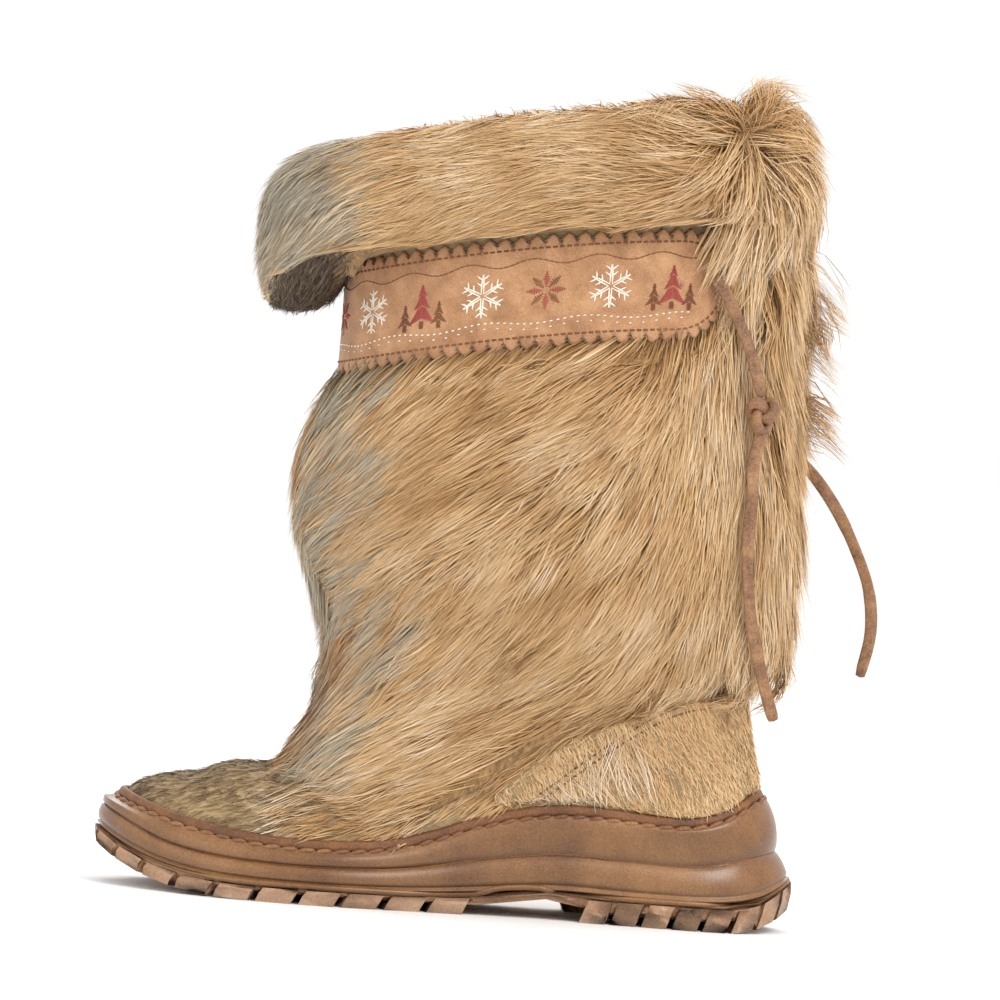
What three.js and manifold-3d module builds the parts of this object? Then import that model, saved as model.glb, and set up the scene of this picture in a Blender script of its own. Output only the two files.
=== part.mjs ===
// Fur mukluk boot for the left foot: a hair-on hide boot on a moulded cup sole, with a fur cuff,
// a pinked leather band round the shaft and a knotted leather thong at each end of the band.
// Millimetres. +X runs to the toe, +Y to the outer side, +Z up. The origin lies on the floor,
// under the middle of the heel's flat.
import * as THREE from "three";
import { mergeVertices } from "three/addons/utils/BufferGeometryUtils.js";
import Module from "manifold-3d";

const wasm = await Module();
wasm.setup();

// Sole
const SOLE_LENGTH = 285;
const HEEL_BACK = 49; // from the origin back to the sole's end
const BALL_WIDTH = 108;
const HEEL_ROUND = 42; // length over which the heel's end is rounded
const TOE_ROUND = 66;
const TOE_SPRING = 17;
const TOE_SPRING_START = 160; // where the forefoot leaves the floor
const ARCH_RISE = 12;
const ARCH_FROM = 45;
const ARCH_TO = 78;
const HEEL_BEVEL = 11; // rise of the tread at the very back of the heel
const HEEL_BEVEL_LENGTH = 24;
const FORE_TREAD = 7; // height of the tread's side at the ball
const HEEL_TREAD = 10.5;
const LUG_HEIGHT = 4;
const LUG_REACH = 15; // from the edge in under the foot
const LUG_PITCH = 17.6;
const LUG_GAP = 3.4;
const HEEL_LUG_PITCH = 12.3; // the heel's blocks stand closer
const HEEL_LUG_GAP = 2.5;
const LUG_SLANT = 1.6;
const RAND_HEIGHT = 48; // top of the sole's side at the waist of the foot
const WELT_HEIGHT = 4.6;
const WELT_THICKNESS = 2.2;
const CUP_LIP = 3.4; // thickness of the cup's wall at the stitches
const INSOLE_THICKNESS = 5;

// Upper
const WALL = 2.5;
const UPPER_INSET = 7.4; // from the sole's edge in to the hide
const TOE_HEIGHT = 47;
const SHOULDER_HEIGHT = 62; // first level section above the vamp
const ANKLE_HEIGHT = 105;
const COLLAR_HEIGHT = 324; // at the back
const COLLAR_DROP = 27; // how much lower the collar is at the front
const SHAFT_BACK = -22;
const SHAFT_DEPTH = 172;
const SHAFT_WIDTH = 122;

// Trim
const COUNTER_THICKNESS = 1.4;
const BAND_HEIGHT = 46;
const BAND_BOTTOM = 237; // at the back
const BAND_DROP = 26;
const BAND_THICKNESS = 1.8;
const BAND_END = -4; // x of the band's rounded ends
const BAND_END_ROUND = 26;
const TOOTH_PITCH = 6.4;
const TOOTH_DEPTH = 2.2;
const FUR_DEPTH = 14;
const CUFF_DEPTH = 15;
const CUFF_RISE = 12; // fur above the collar's edge
const THONG_WIDTH = 5.6;
const THONG_THICKNESS = 2.4;
const KNOT_RADIUS = 6.2;

const CLEARANCE = 0.3; // between pieces that meet
const UNDER_FUR = 0.7; // from the hide to the back of the fur
const COLUMNS = 30;
const HEEL_END = -HEEL_BACK;
const TOE_END = SOLE_LENGTH - HEEL_BACK;

// Sole outline. along: share of the sole's length. half, drift: half width and the middle line's
// shift to the outer side, in shares of the ball width.
const OUTLINE = [
  { along: 0.0, half: 0.345, drift: 0.0 },
  { along: 0.12, half: 0.352, drift: 0.0 },
  { along: 0.28, half: 0.338, drift: 0.008 },
  { along: 0.42, half: 0.335, drift: 0.03 },
  { along: 0.56, half: 0.4, drift: 0.034 },
  { along: 0.7, half: 0.49, drift: 0.012 },
  { along: 0.84, half: 0.48, drift: -0.03 },
  { along: 1.0, half: 0.4, drift: -0.085 },
];

// Lines along the sole's side, in shares of the rand height. floor is the inside of the cup.
const SIDE = [
  { along: 0.0, groove: 0.7, rand: 1.22, floor: 0.5 },
  { along: 0.06, groove: 0.63, rand: 1.2, floor: 0.49 },
  { along: 0.105, groove: 0.54, rand: 1.0, floor: 0.48 },
  { along: 0.16, groove: 0.51, rand: 0.92, floor: 0.475 },
  { along: 0.24, groove: 0.52, rand: 0.96, floor: 0.46 },
  { along: 0.32, groove: 0.55, rand: 1.0, floor: 0.42 },
  { along: 0.4, groove: 0.5, rand: 0.95, floor: 0.37 },
  { along: 0.47, groove: 0.43, rand: 0.8, floor: 0.32 },
  { along: 0.58, groove: 0.32, rand: 0.56, floor: 0.26 },
  { along: 0.73, groove: 0.31, rand: 0.54, floor: 0.235 },
  { along: 0.83, groove: 0.34, rand: 0.6, floor: 0.25 },
  { along: 0.9, groove: 0.41, rand: 0.69, floor: 0.31 },
  { along: 0.955, groove: 0.57, rand: 0.8, floor: 0.44 },
  { along: 1.0, groove: 0.68, rand: 0.88, floor: 0.57 },
];

// The cup's wall from the tread up: between which two lines, how far up, the inset from the
// outline, and the extra inset round the heel, where the wall leans in.
const CUP_WALL = [
  { from: "tread", to: "groove", share: 0.0, inset: 2.4, heel: 0.0 },
  { from: "tread", to: "groove", share: 0.08, inset: 0.5, heel: 0.1 },
  { from: "tread", to: "groove", share: 0.2, inset: 1.6, heel: 0.5 },
  { from: "tread", to: "groove", share: 0.28, inset: 0.7, heel: 1.0 },
  { from: "tread", to: "groove", share: 0.6, inset: 0.8, heel: 2.4 },
  { from: "tread", to: "groove", share: 0.9, inset: 2.0, heel: 3.6 },
  { from: "groove", to: "stitch", share: 0.0, inset: 3.3, heel: 4.0 },
  { from: "groove", to: "stitch", share: 0.12, inset: 2.2, heel: 4.2 },
  { from: "groove", to: "stitch", share: 0.55, inset: 2.6, heel: 4.6 },
];

// Front of the hide over the foot: up is 0 at the cup's floor, 1 at the toe's top and 2 at the
// ankle; out is a share of the sole's length, from the heel's end.
const FOOT_FRONT = [
  { up: 0.3, out: 0.972 },
  { up: 0.62, out: 0.972 },
  { up: 0.78, out: 0.962 },
  { up: 0.9, out: 0.94 },
  { up: 0.97, out: 0.9 },
  { up: 1.02, out: 0.845 },
  { up: 1.06, out: 0.79 },
  { up: 1.12, out: 0.745 },
  { up: 1.22, out: 0.705 },
  { up: 1.4, out: 0.67 },
  { up: 1.65, out: 0.642 },
];
const FOOT_BACK = [
  { up: 0.3, out: 0.036 },
  { up: 0.95, out: 0.046 },
  { up: 1.22, out: 0.062 },
  { up: 1.5, out: 0.077 },
  { up: 1.78, out: 0.089 },
];

// The shaft. up: share from the ankle to the collar. front, back: shares of the shaft's depth
// from its back. half: share of its width.
const SHAFT = [
  { up: 0.0, front: 0.884, back: 0.002, half: 0.35 },
  { up: 0.08, front: 0.906, back: -0.001, half: 0.385 },
  { up: 0.165, front: 0.96, back: -0.005, half: 0.425 },
  { up: 0.26, front: 1.005, back: -0.008, half: 0.462 },
  { up: 0.35, front: 1.015, back: -0.006, half: 0.484 },
  { up: 0.44, front: 1.0, back: -0.003, half: 0.49 },
  { up: 0.53, front: 0.988, back: 0.0, half: 0.488 },
  { up: 0.65, front: 0.99, back: 0.0, half: 0.494 },
  { up: 0.8, front: 1.002, back: 0.006, half: 0.5 },
  { up: 1.0, front: 1.012, back: 0.018, half: 0.5 },
  { up: 1.2, front: 1.02, back: 0.026, half: 0.5 },
];

const lerp = THREE.MathUtils.lerp;
const smooth = (at, from, to) => THREE.MathUtils.smoothstep(at, from, to);
const alongAt = (x) => (x - HEEL_END) / SOLE_LENGTH;
const constant = (value) => () => value;

// A smooth curve without overshoot through one named column of a table.
function read(table, column, at, place) {
  const end = table.length - 1;
  if (at <= table[0][place]) return table[0][column];
  if (at >= table[end][place]) return table[end][column];
  let row = 0;
  while (at > table[row + 1][place]) row += 1;
  const pitch = (k) =>
    (table[k + 1][column] - table[k][column]) / (table[k + 1][place] - table[k][place]);
  const slope = (k) => {
    if (k === 0 || k === end) return k === 0 ? pitch(0) : pitch(end - 1);
    const [before, after] = [pitch(k - 1), pitch(k)];
    return before * after <= 0 ? 0 : (2 * before * after) / (before + after);
  };
  const span = table[row + 1][place] - table[row][place];
  const t = (at - table[row][place]) / span;
  const [low, high] = [table[row][column], table[row + 1][column]];
  const bend = t * (1 - t) * span * (slope(row) * (1 - t) - slope(row + 1) * t);
  return lerp(low, high, t * t * (3 - 2 * t)) + bend;
}

// Rises from 0 to 1 like the end of an oval.
function roundEnd(t, power = 2.1) {
  if (t >= 1) return 1;
  return t <= 0 ? 0 : (1 - (1 - t) ** power) ** (1 / power);
}

// Half width and middle line of the sole's outline at x, drawn in by inset.
function plan(x, inset, back = HEEL_END + inset, front = TOE_END - inset) {
  const along = alongAt(x);
  const half = read(OUTLINE, "half", along, "along") * BALL_WIDTH - inset;
  const ends = roundEnd((x - back) / (HEEL_ROUND - inset)) *
    roundEnd((front - x) / (TOE_ROUND - inset));
  return { half: half * ends, middle: read(OUTLINE, "drift", along, "along") * BALL_WIDTH };
}

// Heights of the sole's lines at x.
const sideLine = (column) => (x) => read(SIDE, column, alongAt(x), "along") * RAND_HEIGHT;
const rand = sideLine("rand");
const floor = sideLine("floor");
const toeRise = (x) =>
  TOE_SPRING * Math.max(0, (x - TOE_SPRING_START) / (TOE_END - TOE_SPRING_START)) ** 3;
const heelRise = (x) =>
  HEEL_BEVEL * Math.max(0, 1 - (x - HEEL_END) / HEEL_BEVEL_LENGTH) ** 2;
const archShare = (x) => {
  const half = (ARCH_TO - ARCH_FROM) / 2;
  return Math.max(0, 1 - Math.abs((x - ARCH_FROM - half) / half) ** 3);
};
const heelShare = (x) => 1 - smooth(x, ARCH_FROM, ARCH_TO + 25);
const ground = (x) => toeRise(x) + heelRise(x);
const cupFloor = (x) => floor(x) + CLEARANCE;
const between = (low, high, share) => (x) => lerp(low(x), high(x), share);
const tread = (x) =>
  lerp(FORE_TREAD, HEEL_TREAD, heelShare(x)) +
  0.2 * ARCH_RISE * archShare(x) + toeRise(x) + 1.1 * heelRise(x);
const LINES = { tread, groove: sideLine("groove"), rand, stitch: (x) => rand(x) - WELT_HEIGHT };

// Hide profiles in millimetres, lowest row first.
const footLevel = (up) =>
  up <= 1 ? TOE_HEIGHT * up : TOE_HEIGHT + (ANKLE_HEIGHT - TOE_HEIGHT) * (up - 1);
const shaftLevel = (up) => ANKLE_HEIGHT + (COLLAR_HEIGHT - ANKLE_HEIGHT) * up;
const footRow = (row) => ({ z: footLevel(row.up), x: HEEL_END + SOLE_LENGTH * row.out });
const shaftRow = (side) => (row) => ({
  z: shaftLevel(row.up),
  x: SHAFT_BACK + SHAFT_DEPTH * row[side],
});
const FRONT = [...FOOT_FRONT.map(footRow), ...SHAFT.map(shaftRow("front"))];
const BACK = [...FOOT_BACK.map(footRow), ...SHAFT.map(shaftRow("back"))];
const frontAt = (z) => read(FRONT, "x", z, "z");
const backAt = (z) => read(BACK, "x", z, "z");
const TOE_TIP = frontAt(0);

// Height at which a profile meets a line given as a height for each x.
function meeting(profile, line) {
  let [low, high] = [0, 2 * COLLAR_HEIGHT];
  for (let step = 0; step < 40; step += 1) {
    const z = (low + high) / 2;
    if (z < line(profile(z))) low = z;
    else high = z;
  }
  return (low + high) / 2;
}

// Top of the foot at x: the front profile read the other way round.
function ridge(x) {
  if (x <= frontAt(ANKLE_HEIGHT)) return ANKLE_HEIGHT + 2.5 * (frontAt(ANKLE_HEIGHT) - x);
  let [low, high] = [0, ANKLE_HEIGHT];
  for (let step = 0; step < 30; step += 1) {
    const z = (low + high) / 2;
    if (frontAt(z) > x) low = z;
    else high = z;
  }
  return (low + high) / 2;
}

// A level of the hide: the line that it follows, and where it meets the front and back profiles.
const level = (line) => ({
  line,
  front: frontAt(meeting(frontAt, line)),
  back: backAt(meeting(backAt, line)),
});

// Point of the hide's outside. turn runs from 0 at the back, over the outer side, to half a turn
// at the front, and back over the inner side.
function hide(turn, at) {
  const share = (1 - Math.cos(turn)) / 2;
  const x = lerp(at.back, at.front, share);
  const z = at.line(x);
  const foot = plan(x, UPPER_INSET, at.back, TOE_TIP);
  const rise = Math.min(1, Math.max(0, (z - floor(x)) / Math.max(ridge(x) - floor(x), 1)));
  const footHalf = foot.half * (1 - rise ** 2.4) ** (1 / 2.4);
  const up = (z - ANKLE_HEIGHT) / (COLLAR_HEIGHT - ANKLE_HEIGHT);
  const oval = (1 - Math.abs(2 * share - 1) ** 2.2) ** (1 / 2.2);
  const shaftHalf = read(SHAFT, "half", up, "up") * SHAFT_WIDTH * oval;
  const shaftPart = smooth(z, SHOULDER_HEIGHT, ANKLE_HEIGHT + 12);
  const side = Math.abs(Math.sin(turn)) < 1e-6 ? 0 : Math.sign(Math.sin(turn));
  return new THREE.Vector3(
    x,
    lerp(foot.middle, 0, shaftPart) + side * lerp(footHalf, shaftHalf, shaftPart),
    z,
  );
}

const TURN_STEP = 0.02;
// The same point, moved out along the surface's normal by so many millimetres.
function over(turn, at, out) {
  const above = level((x) => at.line(x) + 1);
  const point = hide(turn, at);
  const across = hide(turn + TURN_STEP, at).sub(hide(turn - TURN_STEP, at));
  const up = hide(turn, above).sub(point);
  return point.addScaledVector(up.cross(across).normalize(), out);
}

const TURNS = Array.from({ length: COLUMNS }, (_, k) => (2 * Math.PI * k) / COLUMNS);
// A ring round the hide. out may be a number or a function of the turn.
function ring(line, out = 0) {
  const at = level(line);
  return TURNS.map((turn) => over(turn, at, typeof out === "function" ? out(turn) : out));
}

const HEEL_LEAN = 20; // how far in from the heel the wall's lean is full
// A ring round the sole at a height line, drawn in by inset and, round the heel, a little more.
function soleRing(inset, line, heelInset = 0) {
  const [back, front] = [HEEL_END + inset + heelInset, TOE_END - inset];
  return TURNS.map((turn) => {
    const x = lerp(back, front, (1 - Math.cos(turn)) / 2);
    const fade = smooth(x, HEEL_END + HEEL_LEAN, HEEL_END + 4.5 * HEEL_LEAN);
    const lean = heelInset * (1 - fade) * 0.6;
    const { half, middle } = plan(x, inset + lean, back, front);
    const side = Math.abs(Math.sin(turn)) < 1e-6 ? 0 : Math.sign(Math.sin(turn));
    return new THREE.Vector3(x, middle + side * half, line(x));
  });
}

// Geometry from points and triangles, turned outside out.
function geometryOf(points, faces) {
  let volume = 0;
  for (const [a, b, c] of faces) {
    volume += points[a].dot(new THREE.Vector3().crossVectors(points[b], points[c]));
  }
  const turned = volume < 0 ? faces.map(([a, b, c]) => [a, c, b]) : faces;
  return new THREE.BufferGeometry().setFromPoints(points).setIndex(turned.flat());
}

const quad = (a, b, c, d) => [[a, b, c], [a, c, d]];

// Faces between neighbouring rings of equal length, joined all round.
function bands(rings, count, closed) {
  const faces = [];
  const last = closed ? rings : rings - 1;
  for (let r = 0; r < last; r += 1) {
    for (let k = 0; k < count; k += 1) {
      const [here, next] = [r * count, ((r + 1) % rings) * count];
      const beside = (k + 1) % count;
      faces.push(...quad(here + k, here + beside, next + beside, next + k));
    }
  }
  return faces;
}

// A cap across a ring whose two sides have their points at the same x.
function cap(start, count, flip) {
  const faces = [];
  for (let k = 0; k < count / 2; k += 1) {
    const [a, b] = [start + k, start + k + 1];
    const [c, d] = [start + count - k - 1, start + ((count - k) % count)];
    if (k > 0) faces.push([a, c, d]);
    if (k < count / 2 - 1) faces.push([a, b, c]);
  }
  return flip ? faces.map(([a, b, c]) => [a, c, b]) : faces;
}

// A body through rings that is capped at both ends, and one whose last ring meets its first.
function stack(rings) {
  const count = rings[0].length;
  const faces = [
    ...bands(rings.length, count, false),
    ...cap(0, count, true),
    ...cap((rings.length - 1) * count, count, false),
  ];
  return geometryOf(rings.flat(), faces);
}
const sleeve = (rings) => geometryOf(rings.flat(), bands(rings.length, rings[0].length, true));

// A leather patch that lies on the hide between two lines, from one turn to another.
function patch({ from, to, columns, rows, low, high, inner, outer }) {
  const sheet = (out) => {
    const points = [];
    for (let k = 0; k <= columns; k += 1) {
      const turn = lerp(from, to, k / columns);
      for (let r = 0; r <= rows; r += 1) {
        const line = (x) => lerp(low(x, k), high(x, k), r / rows);
        points.push(over(turn, level(line), out));
      }
    }
    return points;
  };
  const points = [...sheet(inner), ...sheet(outer)];
  const size = points.length / 2;
  const at = (k, r, side) => side * size + k * (rows + 1) + r;
  const faces = [];
  for (let k = 0; k < columns; k += 1) {
    for (let r = 0; r < rows; r += 1) {
      faces.push(...quad(at(k, r, 0), at(k, r + 1, 0), at(k + 1, r + 1, 0), at(k + 1, r, 0)));
      faces.push(...quad(at(k, r, 1), at(k + 1, r, 1), at(k + 1, r + 1, 1), at(k, r + 1, 1)));
    }
    for (const [r, turned] of [[0, false], [rows, true]]) {
      const side = quad(at(k, r, 0), at(k + 1, r, 0), at(k + 1, r, 1), at(k, r, 1));
      faces.push(...(turned ? side.map(([a, b, c]) => [a, c, b]) : side));
    }
  }
  for (let r = 0; r < rows; r += 1) {
    faces.push(...quad(at(0, r, 0), at(0, r, 1), at(0, r + 1, 1), at(0, r + 1, 0)));
    faces.push(...quad(at(columns, r, 0), at(columns, r + 1, 0), at(columns, r + 1, 1),
      at(columns, r, 1)));
  }
  return geometryOf(points, faces);
}

// A three.js geometry as a solid for cutting and joining, and back.
function solidOf(geometry) {
  const bare = new THREE.BufferGeometry().setAttribute("position", geometry.getAttribute("position"));
  if (geometry.index) bare.setIndex(geometry.index);
  const merged = mergeVertices(bare, 1e-4);
  return new wasm.Manifold(new wasm.Mesh({
    numProp: 3,
    vertProperties: new Float32Array(merged.attributes.position.array),
    triVerts: new Uint32Array(merged.index.array),
  }));
}
function geometryFrom(solid) {
  const { vertProperties, triVerts } = solid.getMesh();
  return new THREE.BufferGeometry()
    .setAttribute("position", new THREE.BufferAttribute(new Float32Array(vertProperties), 3))
    .setIndex(new THREE.BufferAttribute(new Uint32Array(triVerts), 1));
}
const fuse = (geometries) => geometryFrom(wasm.Manifold.union(geometries.map(solidOf)));

// Outsole: a plate with blocks round its edge and chevrons under the ball and the heel.
const lugRoot = (x) =>
  Math.min(tread(x) - 2.6, ground(x) + LUG_HEIGHT + (ARCH_RISE - LUG_HEIGHT - 2) * archShare(x));

function edgePath() {
  const points = [];
  for (let k = 0; k < 240; k += 1) {
    const turn = (2 * Math.PI * (k + 0.5)) / 240;
    const x = lerp(HEEL_END, TOE_END, (1 - Math.cos(turn)) / 2);
    const { half, middle } = plan(x, 0);
    points.push(new THREE.Vector3(x, middle + Math.sign(Math.sin(turn)) * half, 0));
  }
  const path = new THREE.CatmullRomCurve3(points, true);
  path.arcLengthDivisions = 1200;
  return path;
}

function lugBlock(path, total, from, to) {
  const stations = [0, 1].map((part) => {
    const corner = (inset, slant) => {
      const at = (((lerp(from, to, part) + slant) / total) % 1 + 1) % 1;
      const inward = path.getTangentAt(at).cross(new THREE.Vector3(0, 0, 1)).normalize();
      return path.getPointAt(at).addScaledVector(inward, inset);
    };
    const place = (point, height) => point.setZ(height(point.x));
    return [
      place(corner(1.2, LUG_SLANT), ground),
      place(corner(0.2, 0), (x) => lerp(ground(x), tread(x), 0.5)),
      place(corner(0.6, -LUG_SLANT), (x) => tread(x) - 1.2),
      place(corner(LUG_REACH, -LUG_SLANT), (x) => lugRoot(x) + 1),
      place(corner(LUG_REACH, LUG_SLANT), ground),
    ];
  });
  const count = stations[0].length;
  const faces = bands(stations.length, count, false);
  const far = (stations.length - 1) * count;
  for (let k = 1; k < count - 1; k += 1) {
    faces.push([0, k + 1, k], [far, far + k, far + k + 1]);
  }
  return geometryOf(stations.flat(), faces);
}

function chevron(x, arm, point, thickness) {
  const { half, middle } = plan(x, 0);
  const reach = half - LUG_REACH - arm;
  const shape = new THREE.Shape([
    new THREE.Vector2(x + point, middle),
    new THREE.Vector2(x, middle + reach),
    new THREE.Vector2(x - thickness, middle + reach),
    new THREE.Vector2(x + point - thickness, middle),
    new THREE.Vector2(x - thickness, middle - reach),
    new THREE.Vector2(x, middle - reach),
  ]);
  return new THREE.ExtrudeGeometry(shape, { depth: LUG_HEIGHT + 0.8, bevelEnabled: false });
}

function outsole() {
  const plate = stack([
    soleRing(4, lugRoot),
    soleRing(2.2, (x) => lugRoot(x) + 0.8),
    soleRing(2.0, (x) => tread(x) - 1.6),
    soleRing(0.9, (x) => tread(x) - 0.8),
    soleRing(2.4, tread),
  ]);
  const path = edgePath();
  const total = path.getLength();
  const zones = [
    { near: LUG_PITCH, gap: LUG_GAP, holds: (x) => x > ARCH_TO + LUG_PITCH / 3 },
    { near: HEEL_LUG_PITCH, gap: HEEL_LUG_GAP, holds: (x) => x < ARCH_FROM - HEEL_LUG_PITCH / 3 },
  ];
  const blocks = zones.flatMap(({ near, gap, holds }) => {
    const count = Math.round(total / near);
    const pitch = total / count;
    return Array.from({ length: count }, (_, k) => k * pitch)
      .filter((middle) => holds(path.getPointAt(middle / total).x))
      .map((middle) => lugBlock(path, total, middle - (pitch - gap) / 2, middle + (pitch - gap) / 2));
  });
  const bars = [];
  for (let x = ARCH_TO + 14; x < TOE_SPRING_START; x += 20) bars.push(chevron(x, 5, 9, 8));
  for (let x = -18; x < ARCH_FROM - 12; x += 18) bars.push(chevron(x, 4, 6, 7));
  return fuse([plate, ...blocks, ...bars]);
}

// Cup: the moulded side of the sole, with its groove, round a floor that the foot stands on.
function cup() {
  const outside = CUP_WALL.map((row) => soleRing(
    row.inset,
    (x) => lerp(LINES[row.from](x), LINES[row.to](x), row.share) + CLEARANCE,
    row.heel,
  ));
  const lip = LINES.stitch;
  return stack([
    ...outside,
    ring((x) => lip(x) - 1.4, CLEARANCE + CUP_LIP),
    ring(lip, CLEARANCE + CUP_LIP - 1),
    ring(lip, CLEARANCE * 1.4),
    ring(between(cupFloor, rand, 0.5), CLEARANCE),
    ring(floor, CLEARANCE),
  ]);
}

const welt = () => sleeve([
  ring((x) => LINES.stitch(x) + CLEARANCE, CLEARANCE),
  ring((x) => LINES.stitch(x) + CLEARANCE, CLEARANCE + WELT_THICKNESS),
  ring((x) => rand(x) - 1.4, CLEARANCE + WELT_THICKNESS - 0.2),
  ring((x) => rand(x) - 0.6, CLEARANCE + WELT_THICKNESS - 0.9),
  ring((x) => rand(x) - 0.3, CLEARANCE),
]);

const insole = () => stack([
  ring(cupFloor, -WALL - CLEARANCE),
  ring((x) => cupFloor(x) + INSOLE_THICKNESS, -WALL - CLEARANCE),
]);

// Levels of the shaft sink towards the front, more the higher they are.
const shaftPlace = (x) => Math.max(0, (x - SHAFT_BACK) / SHAFT_DEPTH);
const sunk = (height, drop) => (x) => height - drop * shaftPlace(x) ** 1.8;
const collar = sunk(COLLAR_HEIGHT, COLLAR_DROP);
const bandLow = sunk(BAND_BOTTOM, BAND_DROP);
const bandHigh = (x) => bandLow(x) + BAND_HEIGHT;

function upperLevels() {
  const shoulder = constant(SHOULDER_HEIGHT);
  const ankle = constant(ANKLE_HEIGHT);
  const spread = (low, high, shares) => shares.map((share) => between(low, high, share));
  return [
    ...spread(cupFloor, rand, [0, 0.5, 1]),
    ...spread(rand, shoulder, [0.2, 0.42, 0.64, 0.84, 1]),
    ...spread(shoulder, ankle, [0.3, 0.65, 1]),
    ...spread(ankle, bandLow, [0.17, 0.36, 0.58, 1]),
    ...spread(bandLow, collar, [0.55, 1]),
  ];
}

function upper() {
  const levels = upperLevels();
  return sleeve([
    ...levels.map((line) => ring(line)),
    ...levels.reverse().map((line) => ring(line, -WALL)),
  ]);
}

// A form over the hide on the upper's own rows, and the part of a coat between two such forms
// that lies inside an outline drawn from the side.
const formOver = (levels, out) => solidOf(stack(levels.map((line) => ring(line, out))));
function sideCut(xs, low, high) {
  const shape = new THREE.Shape([
    ...xs.map((x) => new THREE.Vector2(x, low(x))),
    ...xs.toReversed().map((x) => new THREE.Vector2(x, high(x))),
  ]);
  const depth = 3 * SHAFT_WIDTH;
  return solidOf(new THREE.ExtrudeGeometry(shape, { depth, bevelEnabled: false })
    .rotateX(Math.PI / 2).translate(0, depth / 2, 0));
}
const stationsFrom = (from, to, count) =>
  Array.from({ length: count + 1 }, (_, k) => lerp(from, to, k / count));

// Heel counter: a panel over the back of the foot, up to a seam that sinks to the welt. seam
// gives the seam's height above the rand, in shares of the ankle's height above it.
const COUNTER_SEAM = [
  { along: 0.09, seam: 0.86 },
  { along: 0.2, seam: 0.72 },
  { along: 0.3, seam: 0.5 },
  { along: 0.4, seam: 0.2 },
  { along: 0.44, seam: 0.06 },
];
const COUNTER_FRONT = 74;
const seamLine = (x) =>
  lerp(rand(x), ANKLE_HEIGHT, read(COUNTER_SEAM, "seam", alongAt(x), "along"));
function counter() {
  const levels = upperLevels().slice(1, 12);
  const cut = sideCut(
    stationsFrom(HEEL_END - 5, COUNTER_FRONT, 15),
    (x) => rand(x) + 1,
    (x) => Math.max(seamLine(x), rand(x) + 2),
  );
  const shell = formOver(levels, CLEARANCE + COUNTER_THICKNESS).subtract(formOver(levels, CLEARANCE));
  return geometryFrom(shell.intersect(cut));
}

// Band round the shaft, with pinked edges and round ends.
const bandMiddle = between(bandLow, bandHigh, 0.5);
const bandShare = (x) => roundEnd((x - BAND_END) / BAND_END_ROUND);
function band() {
  const middle = level(bandMiddle);
  const turnAt = (x) => Math.acos(1 - (2 * (x - middle.back)) / (middle.front - middle.back));
  const start = turnAt(BAND_END);
  const girth = 2 * Math.PI * Math.sqrt((SHAFT_DEPTH ** 2 + SHAFT_WIDTH ** 2) / 8);
  const columns = 2 * Math.round((girth * (1 - start / Math.PI)) / TOOTH_PITCH);
  const half = (x, k) => {
    const tooth = k % 2 ? 0 : TOOTH_DEPTH;
    return (BAND_HEIGHT / 2) * bandShare(x + 1.2) - tooth / 2;
  };
  return patch({
    from: start,
    to: 2 * Math.PI - start,
    columns,
    rows: 1,
    low: (x, k) => bandMiddle(x) - half(x, k),
    high: (x, k) => bandMiddle(x) + half(x, k),
    inner: CLEARANCE,
    outer: CLEARANCE + BAND_THICKNESS,
  });
}

// A lock of fur on the hide: it starts at a turn and a height, runs by a change in both, and
// tapers to a tip. root and tip are its distances from the hide.
function lock({ turn, z, swing, drop, root, tip, width, thickness }) {
  const stations = [0, 0.45, 0.8].map((part) => {
    const at = level(constant(z - drop * part));
    const spread = width * (1 - part ** 1.7) * 0.5;
    const here = turn + swing * part;
    const out = lerp(root, tip, part);
    const ahead = over(here + swing * 0.05, level(constant(z - drop * (part + 0.05))), out);
    const spine = over(here, at, out);
    const run = ahead.sub(spine).normalize();
    const outward = over(here, at, out + 1).sub(spine).normalize();
    const side = run.clone().cross(outward).normalize();
    const deep = thickness * (1 - part * 0.8) * 0.5;
    return [
      spine.clone().addScaledVector(side, spread),
      spine.clone().addScaledVector(outward, deep),
      spine.clone().addScaledVector(side, -spread),
      spine.clone().addScaledVector(outward, -deep),
    ];
  });
  const end = over(turn + swing, level(constant(z - drop)), tip);
  const faces = bands(stations.length, 4, false);
  const far = (stations.length - 1) * 4;
  for (let k = 0; k < 4; k += 1) faces.push([far + k, far + ((k + 1) % 4), far + 4]);
  faces.push([0, 2, 1], [0, 3, 2]);
  return geometryOf([...stations.flat(), end], faces);
}

// Locks of the long fur.
const LOCK_WIDTH = 26;
const LOCK_THICKNESS = 9;
const LOCK_DROP = 40; // how far a lock hangs
const LOCK_FLARE = 3; // how far its tip stands out
const LOCK_ROOT = 2; // how deep its root lies in the coat
const BAND_MARGIN = 2.4; // bare strip round the band

// The long fur of the shaft. It ends below in a hem that runs over the instep to the rand, up
// the counter's seam and round the back.
const HEM = [
  { along: 0.1, hem: 0.92 },
  { along: 0.2, hem: 0.78 },
  { along: 0.3, hem: 0.56 },
  { along: 0.4, hem: 0.3 },
  { along: 0.46, hem: 0.14 },
  { along: 0.54, hem: 0.08 },
  { along: 0.62, hem: 0.1 },
  { along: 0.7, hem: 0.3 },
  { along: 0.78, hem: 0.42 },
];
const hemLine = (x) => lerp(rand(x), ANKLE_HEIGHT, read(HEM, "hem", alongAt(x), "along"));
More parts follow.
